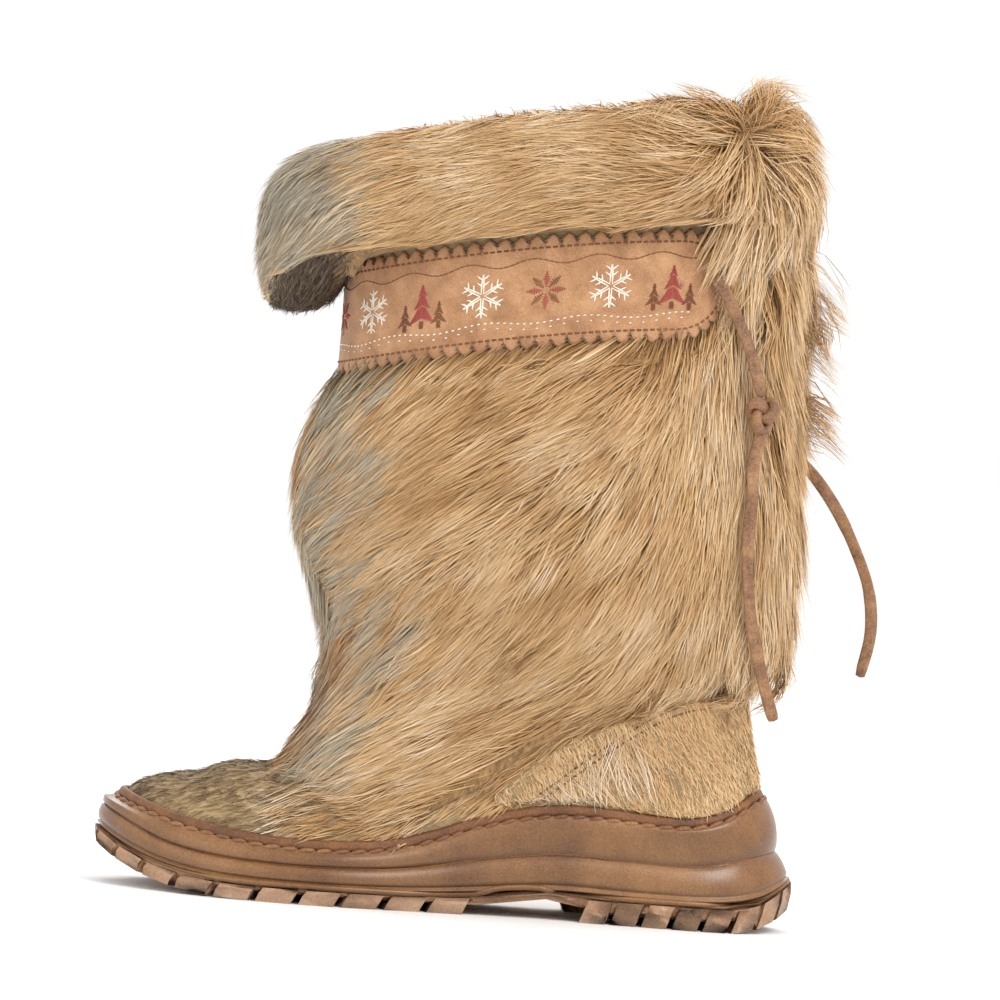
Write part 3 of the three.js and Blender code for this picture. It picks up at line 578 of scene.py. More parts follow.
def smooth_copy(
    node: str, name: str, crease_angle: float, levels: int, relax: int = 0, bevel_mm: float = 0.0
) -> bpy.types.Object:
    """Copies a solid of the frame as a finer, smoother mesh.

    Args:
        node: the solid's name.
        name: the new piece's name.
        crease_angle: edges sharper than this many degrees stay sharp.
        levels: how often the faces are divided.
        relax: rounds of smoothing after that.
        bevel_mm: width of a bevel on the sharp edges.

    Returns:
        The new object, which doesn't ride on anything yet.
    """
    points, triangles = read_mesh(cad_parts[node])
    work = bmesh.new()
    corners = [work.verts.new(p) for p in points]
    for a, b, c in triangles.tolist():
        if len({a, b, c}) == 3 and not work.faces.get((corners[a], corners[b], corners[c])):
            work.faces.new((corners[a], corners[b], corners[c]))
    bmesh.ops.remove_doubles(work, verts=work.verts, dist=WELD_MM * MM)
    bmesh.ops.join_triangles(
        work,
        faces=work.faces,
        angle_face_threshold=math.radians(FLAT_DEGREES),
        angle_shape_threshold=math.radians(SQUARE_DEGREES),
    )
    crease = work.edges.layers.float.new("crease_edge")
    for edge in work.edges:
        if len(edge.link_faces) == 2 and edge.calc_face_angle(0) > math.radians(crease_angle):
            edge[crease] = 0.0 if bevel_mm else 1.0
    mesh = bpy.data.meshes.new(name)
    work.to_mesh(mesh)
    work.free()
    made = bpy.data.objects.new(name, mesh)
    bpy.context.collection.objects.link(made)
    if bevel_mm:
        edge_round = made.modifiers.new("edge_round", "BEVEL")
        edge_round.width = bevel_mm * MM
        edge_round.segments = 2
        edge_round.limit_method = "ANGLE"
        edge_round.angle_limit = math.radians(crease_angle)
    if levels:
        divide = made.modifiers.new("divide", "SUBSURF")
        divide.levels = divide.render_levels = levels
    if relax:
        soften = made.modifiers.new("soften", "SMOOTH")
        soften.factor = 0.5
        soften.iterations = relax
    evaluated = made.evaluated_get(bpy.context.evaluated_depsgraph_get())
    made.data = bpy.data.meshes.new_from_object(evaluated)
    made.modifiers.clear()
    for face in made.data.polygons:
        face.use_smooth = True
    return made


def move_points(made: bpy.types.Object, change: Callable[[Array, Array], Array]) -> None:
    """Moves a piece's points.

    Args:
        made: the piece.
        change: gives new points from the points and their normals.
    """
    mesh = made.data
    points = np.empty(len(mesh.vertices) * 3)
    normals = np.empty(len(mesh.vertices) * 3)
    mesh.vertices.foreach_get("co", points)
    mesh.vertices.foreach_get("normal", normals)
    moved = change(points.reshape(-1, 3), normals.reshape(-1, 3))
    mesh.vertices.foreach_set("co", moved.ravel())
    mesh.update()


def adopt(
    made: bpy.types.Object, node: str, materials: list[bpy.types.Material]
) -> bpy.types.Object:
    """Lets a piece stand for a solid of the frame.

    Args:
        made: the piece.
        node: the solid that it replaces.
        materials: its materials, in slot order.

    Returns:
        The same piece.
    """
    made.data.materials.clear()
    for material in materials:
        made.data.materials.append(material)
    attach(made, BODY)
    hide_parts(node)
    LOG.info("%s: %d faces in place of %s", made.name, len(made.data.polygons), node)
    return made


def spline(route: Array, per_span: int) -> Array:
    """Runs a smooth curve through points.

    Args:
        route: the points.
        per_span: how many points to make for each span.

    Returns:
        The curve's points.
    """
    ends = np.vstack([2 * route[0] - route[1], route, 2 * route[-1] - route[-2]])
    out = []
    for k in range(len(route) - 1):
        p0, p1, p2, p3 = ends[k : k + 4]
        for t in np.linspace(0, 1, per_span, endpoint=False):
            out.append(
                0.5
                * (
                    2 * p1
                    + (p2 - p0) * t
                    + (2 * p0 - 5 * p1 + 4 * p2 - p3) * t**2
                    + (3 * p1 - p0 - 3 * p2 + p3) * t**3
                )
            )
    return np.array([*out, route[-1]])


def lengths_along(route: Array) -> Array:
    """Gives each point's distance along a line of points."""
    return np.concatenate([[0], np.cumsum(np.linalg.norm(np.diff(route, axis=0), axis=1))])


@dataclass
class Threads:
    """Short lengths of thread or strap, gathered into one mesh."""

    name: str
    material: bpy.types.Material
    slot: str
    sides: int = 6
    tip: float = 0.6  # how far an end's point sticks out, as a share of half the thickness
    points: list[Array] = field(default_factory=list)
    faces: list[Array] = field(default_factory=list)
    count: int = 0

    def lay(
        self,
        route: Array,
        normal: Array,
        width: Array | float,
        height: Array | float,
        squareness: float = 1.0,
        sink: float = 0.0,
    ) -> None:
        """Adds one length.

        Args:
            route: its centre line.
            normal: the direction that its flat side faces, at each point.
            width: its width there.
            height: its thickness there.
            squareness: 1 for a round section, and less for a squarer one.
            sink: how far in its ends dip.
        """
        count = len(route)
        ahead = unit(np.gradient(route, axis=0))
        side = unit(np.cross(normal, ahead))
        up = unit(np.cross(ahead, side))
        turn = 2 * math.pi * (np.arange(self.sides) + 0.5) / self.sides
        across = np.sign(np.cos(turn)) * np.abs(np.cos(turn)) ** squareness
        over = np.sign(np.sin(turn)) * np.abs(np.sin(turn)) ** squareness
        wide = np.broadcast_to(width, count) / 2
        high = np.broadcast_to(height, count) / 2
        line = route - up * sink * (np.abs(np.linspace(-1, 1, count)) ** 3)[:, None]
        ring = (
            line[:, None]
            + side[:, None] * (wide[:, None] * across)[..., None]
            + up[:, None] * (high[:, None] * over)[..., None]
        )
        ends = [line[0] - ahead[0] * high[0] * self.tip, line[-1] + ahead[-1] * high[-1] * self.tip]
        k = np.arange(self.sides)
        n = (k + 1) % self.sides
        rows = []
        for r in range(count - 1):
            low, top = r * self.sides, (r + 1) * self.sides
            rows.append(np.stack([low + k, top + n, low + n], 1))
            rows.append(np.stack([low + k, top + k, top + n], 1))
        last = (count - 1) * self.sides
        first_tip = count * self.sides
        rows.append(np.stack([k, n, np.full(self.sides, first_tip)], 1))
        rows.append(np.stack([last + n, last + k, np.full(self.sides, first_tip + 1)], 1))
        self.faces.append(np.concatenate(rows)[:, ::-1] + self.count)
        self.points += [ring.reshape(-1, 3), np.stack(ends)]
        self.count += count * self.sides + 2

    def make(self) -> bpy.types.Object:
        """Makes the gathered lengths into one piece.

        Returns:
            The piece.
        """
        points, faces = np.concatenate(self.points), np.concatenate(self.faces)
        return mesh_object(self.name, points, faces, self.material, self.slot)


class Skin:
    """A surface to sample, to cast on and to walk on."""

    droop = 0.3  # how far what hangs past a rim sinks, as a share of how far it hangs

    def __init__(
        self, source: bpy.types.Object, keep: Callable[[Array, Array], Array] | None = None
    ) -> None:
        """Reads the mesh.

        Args:
            source: the object with the surface.
            keep: tells from centres and normals which triangles belong to the surface.
        """
        points, triangles = read_mesh(source)
        a, b, c = (points[triangles[:, k]] for k in range(3))
        cross = np.cross(b - a, c - a)
        wanted = np.ones(len(triangles), dtype=bool)
        if keep is not None:
            wanted = keep((a + b + c) / 3, unit(cross))
        self.points, self.triangles = points, triangles[wanted]
        self.areas = np.linalg.norm(cross[wanted], axis=1) / 2
        corner_normals = np.zeros_like(points)
        for k in range(3):
            np.add.at(corner_normals, self.triangles[:, k], cross[wanted])
        self.normals = unit(corner_normals)
        self.tree = BVHTree.FromPolygons(points.tolist(), self.triangles.tolist())

    def sample(
        self, count: int, rng: np.random.Generator, where: Flow | None = None
    ) -> tuple[Array, Array]:
        """Scatters points evenly over the surface.

        Args:
            count: how many.
            rng: the random generator.
            where: gives each triangle's share of points from its centre and normal.

        Returns:
            The points and their normals.
        """
        a, b, c = (self.points[self.triangles[:, k]] for k in range(3))
        weight = self.areas.copy()
        if where is not None:
            weight = weight * where((a + b + c) / 3, unit(np.cross(b - a, c - a)))
        pick = rng.choice(len(weight), size=count, p=weight / weight.sum())
        u, v = rng.random(count), rng.random(count)
        flip = u + v > 1
        u[flip], v[flip] = 1 - u[flip], 1 - v[flip]
        w = 1 - u - v
        place = w[:, None] * a[pick] + u[:, None] * b[pick] + v[:, None] * c[pick]
        corner = [self.normals[self.triangles[pick, k]] for k in range(3)]
        normal = w[:, None] * corner[0] + u[:, None] * corner[1] + v[:, None] * corner[2]
        return place, unit(normal)

    def nearest(self, places: Array) -> tuple[Array, Array]:
        """Finds the surface points nearest to some places.

        Args:
            places: one row of coordinates a place.

        Returns:
            The surface points and their smooth normals.
        """
        find = self.tree.find_nearest
        found = [find(p) for p in places.tolist()]
        spot = np.array([f[0] for f in found])
        face = self.triangles[np.array([f[2] for f in found])]
        corners = self.points[face]
        span = np.linalg.norm(corners - spot[:, None, :], axis=2) + 1e-6
        normal = (self.normals[face] * (1 / span)[:, :, None]).sum(axis=1)
        return spot, unit(normal)

    def rest(self, places: Array, overhang: Array | float = 0.45) -> tuple[Array, Array]:
        """Lays places on the surface, or just past its rim where they lie beyond it.

        Args:
            places: one row of coordinates a place.
            overhang: the share of the way past the rim that is kept.

        Returns:
            The places and their normals.
        """
        spot, normal = self.nearest(places)
        gap = places - spot
        past = along_skin(gap, normal) * overhang
        far = np.linalg.norm(past, axis=1, keepdims=True)
        return spot + past - normal * far * self.droop, normal

    def keep_over(self, places: Array) -> Array:
        """Lifts places that lie below the surface up to it, except near the boot's open top.

        Args:
            places: one row of coordinates a place.

        Returns:
            The places, none of them under the surface.
        """
        low = places[:, 2] < OPEN_TOP
        spot, normal = self.nearest(places[low])
        depth = np.minimum(0.0, ((places[low] - spot) * normal).sum(1))
        kept = places.copy()
        kept[low] -= normal * depth[:, None]
        return kept

    def cast(self, origins: Array, directions: Array) -> tuple[Array, Array]:
        """Casts rays on the surface.

        Args:
            origins: where the rays start.
            directions: where they point.

        Returns:
            The points that they hit, and which rays hit.
        """
        out, hit = [], []
        for origin, direction in zip(origins.tolist(), directions.tolist()):
            place = self.tree.ray_cast(origin, direction)[0]
            hit.append(place is not None)
            out.append(place if place is not None else origin)
        return np.array(out), np.array(hit)


def along_skin(direction: Array, normal: Array) -> Array:
    """Takes out of directions what points into or out of the skin.

    Args:
        direction: the directions.
        normal: the skin's normals.

    Returns:
        The directions along the skin.
    """
    return direction - (direction * normal).sum(-1, keepdims=True) * normal


# The boot's own lines, in metres
AXIS_X = 64 * MM  # the shaft's middle, seen from above
OPEN_TOP = 0.3  # where the cuff begins to roll over the shaft's open end
WHORL = np.array([-0.008, 0.045, 0.322])  # where the cuff's hair parts, near the top of the back
UNDERSIDE = -0.45  # a normal's height below which a face counts as an underside
ANKLE = 70 * MM  # height over which the hide is a shaft with a lining inside


def band_low(x: Array) -> Array:
    """Height of the band's lower edge at x."""
    return (237 - 26 * np.clip((x / MM + 22) / 172, 0, 2) ** 1.8) * MM


def outwards(centre: Array, normal: Array) -> Array:
    """Tells how far normals point away from the shaft's middle.

    Args:
        centre: the triangles' centres.
        normal: their normals.

    Returns:
        1 for straight out, and -1 for straight in.
    """
    radial = centre - np.array([AXIS_X, 0, 0])
    radial[:, 2] = 0
    return (unit(radial) * normal).sum(1)


def facing_out(centre: Array, normal: Array) -> Array:
    """Tells which triangles face away from the shaft's middle, or up."""
    return (outwards(centre, normal) > -0.12) | (normal[:, 2] > 0.55)


def hide_outside(centre: Array, normal: Array) -> Array:
    """Tells which triangles are the hide's outer face: below the ankle, all of them."""
    return facing_out(centre, normal) | (centre[:, 2] < ANKLE)


def facing_sideways(centre: Array, normal: Array) -> Array:
    """Tells which triangles face away from the shaft's middle or up, and not down."""
    return facing_out(centre, normal) & (normal[:, 2] > UNDERSIDE)


def facing_in(centre: Array, normal: Array) -> Array:
    """Tells which triangles face straight to the shaft's middle, or down."""
    return (outwards(centre, normal) < -0.6) | (normal[:, 2] < UNDERSIDE)


@dataclass(frozen=True)
class Zone:
    """A box of places, in metres, where hair grows."""

    low: tuple[float, float, float] = (-1.0, -1.0, -1.0)
    high: tuple[float, float, float] = (1.0, 1.0, 1.0)

    def __call__(self, centre: Array, normal: Array) -> Array:
        """Gives each triangle's share of hair.

        Args:
            centre: the triangles' centres.
            normal: their normals, which aren't needed.

        Returns:
            1 for triangles in the box, and otherwise 0.
        """
        return ((centre >= self.low) & (centre <= self.high)).all(axis=1).astype(float)


# Hair
@dataclass
class Fleece:
    """One growth of hair on a skin: locks of strands that share a guide.

    The strands are coarser than real goat hair, several times as wide, so that they show.
    """

    name: str
    skin: Skin
    flow: Flow
    locks: int
    strands: int
    length_mm: float
    material: bpy.types.Material
    slot: str
    seed: int
    width_mm: float = 0.5
    steps: int = 3
    spread_mm: float = 4.2
    gather: float = 0.55
    root_mm: float = -4.5
    lift_mm: Callable[[Array], Array] | float = 1.2
    where: Callable[[Array, Array], Array] | None = None
    tone: Callable[[Array, np.random.Generator], Array] | None = None
    length: Callable[[Array], Array] | None = None
    stray: float = 0.04
    wander: float = 0.08
    overhang: Callable[[Array], Array] | float = 0.45
    roots: Array | None = None
    base: Skin | None = None
    trail: float = 1.8  # a lock's spread along its run, against its spread across
    bend_mm: float = 0.7
    uneven_mm: float = 0.5
    fly_mm: float = 2.6  # how far a stray hair's tip lifts
    loose_gather: float = 0.1
    tone_spread: float = 0.055

    def hang(self, place: Array) -> Array:
        """Gives the share of the way past a rim that each lock keeps, as a column.

        Args:
            place: the locks' roots.

        Returns:
            One row for each lock.
        """
        share = self.overhang(place) if callable(self.overhang) else self.overhang
        return np.broadcast_to(share, len(place))[:, None]

    def guides(self, rng: np.random.Generator) -> tuple[Array, Array, Array]:
        """Walks each lock's guide over the skin.

        Args:
            rng: the random generator.

        Returns:
            Guide points, normals and each lock's length, in metres.
        """
        if self.roots is None:
            place, normal = self.skin.sample(self.locks, rng, self.where)
        else:
            place, normal = self.skin.nearest(self.roots)
            self.locks = len(place)
        length = self.length_mm * MM * rng.uniform(0.7, 1.15, self.locks)
        if self.length is not None:
            length = length * self.length(place)
        x, y, z = place.T
        overhang = self.hang(place)
        turn = rng.normal(0.0, self.wander, self.locks)
        turn = turn + 1.6 * self.wander * np.sin(150 * z + 2 * np.sin(110 * x + 60 * y) + self.seed)
        points, normals = [place], [normal]
        for _ in range(self.steps):
            ahead = unit(self.flow(place, normal))
            side = np.cross(normal, ahead)
            ahead = ahead * np.cos(turn)[:, None] + side * np.sin(turn)[:, None]
            turn = turn * 0.85
            moved = place + ahead * (length / self.steps)[:, None]
            place, normal = self.skin.rest(moved, overhang)
            points.append(place)
            normals.append(normal)
        return np.stack(points, 1), np.stack(normals, 1), length

    def grow(self) -> bpy.types.Object:
        """Grows the strands.

        Returns:
            The hair's object.
        """
        rng = np.random.default_rng(self.seed)
        guide, normal, length = self.guides(rng)
        t = np.linspace(0, 1, self.steps + 1)
        ahead = unit(np.gradient(guide, axis=1))
        side = unit(np.cross(normal, ahead))
        shape = (self.locks, self.strands)
        across = rng.normal(0, self.spread_mm * MM, shape)
        back = rng.normal(0, self.spread_mm * self.trail * MM, shape)
        loose = rng.random(shape) < self.stray
        gather = self.gather * rng.uniform(0.5, 1.0, (self.locks, 1))
        gather = np.where(loose, self.loose_gather, gather)
        close = 1 - gather[:, :, None] * t**1.3
        reach = rng.uniform(0.75, 1.1, shape)
        along = (reach[:, :, None] - 1) * t * length[:, None, None] * 0.6
        bend = rng.normal(0, self.bend_mm * MM, shape)[:, :, None] * np.sin(math.pi * t)
        flat = (
            guide[:, None]
            + side[:, None] * (across[:, :, None] * close + bend)[..., None]
            + ahead[:, None] * (back[:, :, None] * (1 - 0.5 * t) + along)[..., None]
        )
        hung = np.minimum(1.0, self.hang(guide[:, 0]) * 1.2) * np.minimum(1.0, 2 * t)
        free = np.repeat(hung[:, None], self.strands, axis=1).reshape(-1, 1)
        spine, out = self.skin.rest(flat.reshape(-1, 3), free)
        spine, out = spine.reshape(flat.shape), out.reshape(flat.shape)
        tall = self.lift_mm(guide[:, 0]) if callable(self.lift_mm) else self.lift_mm
        tall = tall * MM * rng.uniform(0.0, 1.7, self.locks)
        rise = t**0.75
        high = self.root_mm * MM * (1 - rise) + tall[:, None, None] * rise
        high = high + rng.normal(0, self.uneven_mm * MM, shape)[:, :, None] * (0.3 + t)
        high = high + np.where(loose, self.fly_mm * MM, 0)[:, :, None] * t**2
        spine = spine + out * high[..., None]
        if self.base is not None:
            spine = self.base.keep_over(spine.reshape(-1, 3)).reshape(spine.shape)
        tone = np.full(self.locks, 0.5) if self.tone is None else self.tone(guide[:, 0], rng)
        tones = np.clip(tone[:, None] + rng.normal(0, self.tone_spread, shape), 0.0, 1.0)
        return self.ribbons(spine, out, tones, rng)

    def ribbons(
        self, spine: Array, out: Array, tones: Array, rng: np.random.Generator
    ) -> bpy.types.Object:
        """Lays a thin pointed ribbon along each spine.

        Args:
            spine: points by lock, strand and station.
            out: the skin's normals there.
            tones: each strand's tone.
            rng: the random generator.

        Returns:
            The hair's object.
        """
        stations = self.steps + 1
        t = np.linspace(0, 1, stations)
        count = spine.shape[0] * spine.shape[1]
        roll = rng.normal(0, 0.5, spine.shape[:2])[..., None, None]
        side = unit(np.cross(out, np.gradient(spine, axis=2)))
        facing = side * np.cos(roll) + out * np.sin(roll)
        taper = np.array([0.75, 1.0, 0.8, 0.0]) if stations == 4 else np.array([0.9, 0.8, 0.0])
        wide = self.width_mm * MM * rng.uniform(0.6, 1.25, spine.shape[:2])
        offset = facing * (wide[..., None] * taper / 2)[..., None]
        left, right = spine[:, :, :-1] - offset[:, :, :-1], spine[:, :, :-1] + offset[:, :, :-1]
        body = np.stack([left, right], axis=3).reshape(count, (stations - 1) * 2, 3)
        tip = spine[:, :, -1:].reshape(count, 1, 3)
        points = np.concatenate([body, tip], axis=1)
        each = points.shape[1]
        faces = []
        for k in range(0, 2 * (stations - 2), 2):
            faces += [(k, k + 1, k + 3), (k, k + 3, k + 2)]
        faces.append((each - 3, each - 2, each - 1))
        triangles = (np.arange(count) * each)[:, None, None] + np.array(faces)[None]
        v = np.concatenate([np.repeat(t[:-1], 2), [1.0]])
        place = np.stack(
            [np.repeat(tones.reshape(-1, 1), each, axis=1), np.tile(v, (count, 1))], axis=2
        )
        return mesh_object(
            self.name,
            points.reshape(-1, 3),
            triangles.reshape(-1, 3),
            self.material,
            self.slot,
            np.clip(place.reshape(-1, 2), 0.002, 0.998),
        )


def slanted(place: Array, normal: Array, steep: Array) -> Array:
    """Flow at an angle below the horizontal, forward.

    Args:
        place: points on the skin.
        normal: the skin's normals.
        steep: degrees below the horizontal.

    Returns:
        Directions along the skin.
    """
    angle = np.radians(steep)[:, None]
    forward = along_skin(np.tile([1.0, 0, 0], (len(place), 1)), normal)
    down = along_skin(np.tile([0, 0, -1.0], (len(place), 1)), normal)
    return forward * np.cos(angle) + down * np.sin(angle)


def shaft_flow(place: Array, normal: Array) -> Array:
    """Hair of the shaft: down at the back, and slanting down and forward on the sides.

    Args:
        place: points on the skin.
        normal: the skin's normals.

    Returns:
        Directions along the skin.
    """
    x, y, z = place.T
    sideways = smooth(x, -15 * MM, 55 * MM)
    low = smooth(-z, -0.13, -0.07)
    steep = 84 + sideways * (44 - 16 * low - 84)
    steep = steep + 10 * np.sin(45 * z + 30 * x) * sideways
    steep = steep + 38 * smooth(-np.abs(y), -0.03, -0.008) * smooth(x, 0.1, 0.13)
    return slanted(place, normal, steep)


def from_whorl(place: Array) -> Array:
    """Vectors to places from the cuff's whorl on their side of the boot."""
    sides = np.where(place[:, 1:2] < 0, -1.0, 1.0)
    return place - WHORL * np.concatenate([sides**2, sides, sides**2], axis=1)


def cuff_flow(place: Array, normal: Array) -> Array:
    """Hair of the cuff: forward from a whorl at the back, bending down over the brow.

    Args:
        place: points on the skin.
        normal: the skin's normals.

    Returns:
        Directions along the skin.
    """
    x, _, z = place.T
    steep = 9 + 14 * smooth(-z, -0.31, -0.27) + 7 * np.sin(60 * x + 50 * z)
    steep = steep + 70 * smooth(-x, -0.016, 0.012) + 28 * smooth(x, 0.115, 0.175)
    outward = place - np.array([AXIS_X, 0, 0])
    outward[:, 2] = 0
    top = smooth(normal[:, 2], 0.35, 0.95)[:, None]
    flow = unit(slanted(place, normal, steep)) * (1 - 0.4 * top)
    flow = flow + along_skin(unit(outward), normal) * 0.8 * top
    away = from_whorl(place)
    near = smooth(-np.linalg.norm(away, axis=1), -0.045, -0.018)[:, None]
    return flow * (1 - near) + unit(along_skin(away, normal)) * near


def toe_flow(place: Array, normal: Array) -> Array:
    """Short hair of the toe: forward, and a little down the sides."""
    return along_skin(np.tile([0.92, 0, -0.3], (len(place), 1)), normal)


def vamp_flow(place: Array, normal: Array) -> Array:
    """Longer hair of the vamp: forward and down to the welt."""
    return slanted(place, normal, 24 + 16 * smooth(-place[:, 0], -0.12, -0.08))


def wisp_flow(place: Array, normal: Array) -> Array:
    """Wisps over the seam: nearly straight down."""
    return along_skin(np.tile([0.12, 0, -1.0], (len(place), 1)), normal)


def heel_flow(place: Array, normal: Array) -> Array:
    """Short hair of the heel panel: down, and a little back."""
    return along_skin(np.tile([-0.5, 0, -0.85], (len(place), 1)), normal)


def tuft_flow(place: Array, normal: Array) -> Array:
    """Locks that hang from the cuff's edge: almost straight down."""
    return slanted(place, normal, np.full(len(place), 84.0))


def spur_flow(place: Array, normal: Array) -> Array:
    """Tufts down the back: down, and a little to either side."""
    sway = 0.5 * np.sin(300 * place[:, 2])
    return along_skin(np.stack([sway * 0, sway, sway * 0 - 1], 1), normal)


def rim_flow(place: Array, normal: Array) -> Array:
    """Hair on the inner side of the cuff's rolled top: up, and a little forward."""
    return along_skin(np.tile([0.4, 0, 1.0], (len(place), 1)), normal)


def brow_length(place: Array) -> Array:
    """Share of the cuff's hair length: short along the brow's lower edge."""
    return 1 - 0.6 * smooth(place[:, 0], 0.128, 0.15) * smooth(-place[:, 2], -0.285, -0.25)


def cuff_overhang(place: Array) -> Array:
    """How freely the cuff's locks hang past its rim: little over the band, more at the back."""
    return 0.15 + 0.7 * smooth(-place[:, 0], 0.008, 0.024)


def brow_tone(place: Array, rng: np.random.Generator) -> Array:
    """Tone of the hair under the brow: in its painted-shade palette, with some lighter hairs."""
    return np.clip(0.4 + rng.normal(0, 0.2, len(place)), 0, 1)


def fur_tone(place: Array, rng: np.random.Generator) -> Array:
    """Tone of the long fur: straw with pale streaks, painted light at the back, painted shade low
    at the front, and a grey front that is partly painted shade.

    Args:
        place: the locks' roots.
        rng: the random generator.

    Returns:
        Tones from 0.06 to 0.7, or from 0.88 for the cooler grey of the front, partly painted shade.
    """
    x, y, z = place.T
    wave = np.sin(85 * x + 60 * z + 2 * np.sin(50 * z)) * np.sin(75 * z - 45 * x + 25 * y)
    tone = 0.5 + 0.11 * wave + rng.normal(0, 0.09, len(place))
    instep = smooth(x, 0.06, 0.09) * smooth(-x, -0.13, -0.115) * smooth(-z, -0.14, -0.09)
    tone = tone + 0.1 * instep
    front = 0.138 + 0.27 * np.clip(z - 0.118, 0, 0.075) + 0.43 * np.clip(0.118 - z, 0, 1)
    # Painted shade: the low front edge of the shaft is darkened.
    low_front_shade = smooth(x - front, -0.024, -0.006)
    low_front_shade = low_front_shade * smooth(-z, -0.15, -0.11) * smooth(z, 0.05, 0.065)
    # Painted light: the fur is lighter at the back, where the lamps leave it in shade.
    tone = tone + 0.11 * smooth(-x, -0.02, 0.015)
    tone = np.clip(tone - 0.3 * low_front_shade, 0.06, 0.7)
    # The grey of the front is partly the hair's own grey and partly painted shade.
    patchy = 0.65 + 0.2 * np.sin(90 * z + 40 * y)
    cool = smooth(x - front, -0.055, -0.014) * patchy * (1 - 0.6 * low_front_shade)
    cuff = smooth(x, 0.114, 0.146) * smooth(z + 0.3 * (x - 0.15), 0.25, 0.275)
    cool = np.maximum(cool * smooth(-z, -0.245, -0.225), cuff * 0.95)
    grey = 0.88 + 0.1 * rng.random(len(place)) + 0.05 * smooth(-z, -0.245, -0.225)
    return np.where(rng.random(len(place)) < cool, grey, tone)


def toe_tone(place: Array, rng: np.random.Generator) -> Array:
    """Tone of the short toe hair: olive-beige in soft patches, darkened at the tip as painted
    shadow.

    Args:
        place: the locks' roots.
        rng: the random generator.

    Returns:
        The tones.
    """
    wave = np.sin(90 * place[:, 0]) * np.sin(120 * place[:, 1] + 40 * place[:, 0])
    # Painted shadow: the toe's tip is darkened.
    tip = smooth(place[:, 0], 0.195, 0.226)
    return np.clip(0.36 + 0.07 * wave + rng.normal(0, 0.05, len(place)) - 0.3 * tip, 0, 1)


def vamp_tone(place: Array, rng: np.random.Generator) -> Array:
    """Tone of the vamp's hair: that of the long fur, browner towards the toe."""
    return np.clip(fur_tone(place, rng) - 0.03 * smooth(place[:, 0], 0.12, 0.155), 0, 0.8)


def heel_tone(place: Array, rng: np.random.Generator) -> Array:
    """Tone of the heel panel's hair: warm tan."""
    wave = np.sin(80 * place[:, 0] + 60 * place[:, 2])
    return np.clip(0.57 + 0.07 * wave + rng.normal(0, 0.06, len(place)), 0, 0.85)


def wisp_length(place: Array) -> Array:
    """Share of the wisps' length: less near the welt."""
    return np.clip((place[:, 2] - 0.036) / 0.03, 0.3, 1.0)


def wisp_tone(place: Array, rng: np.random.Generator) -> Array:
    """Tone of the wisps over the seam: the palest."""
    return rng.uniform(0.8, 1.0, len(place))


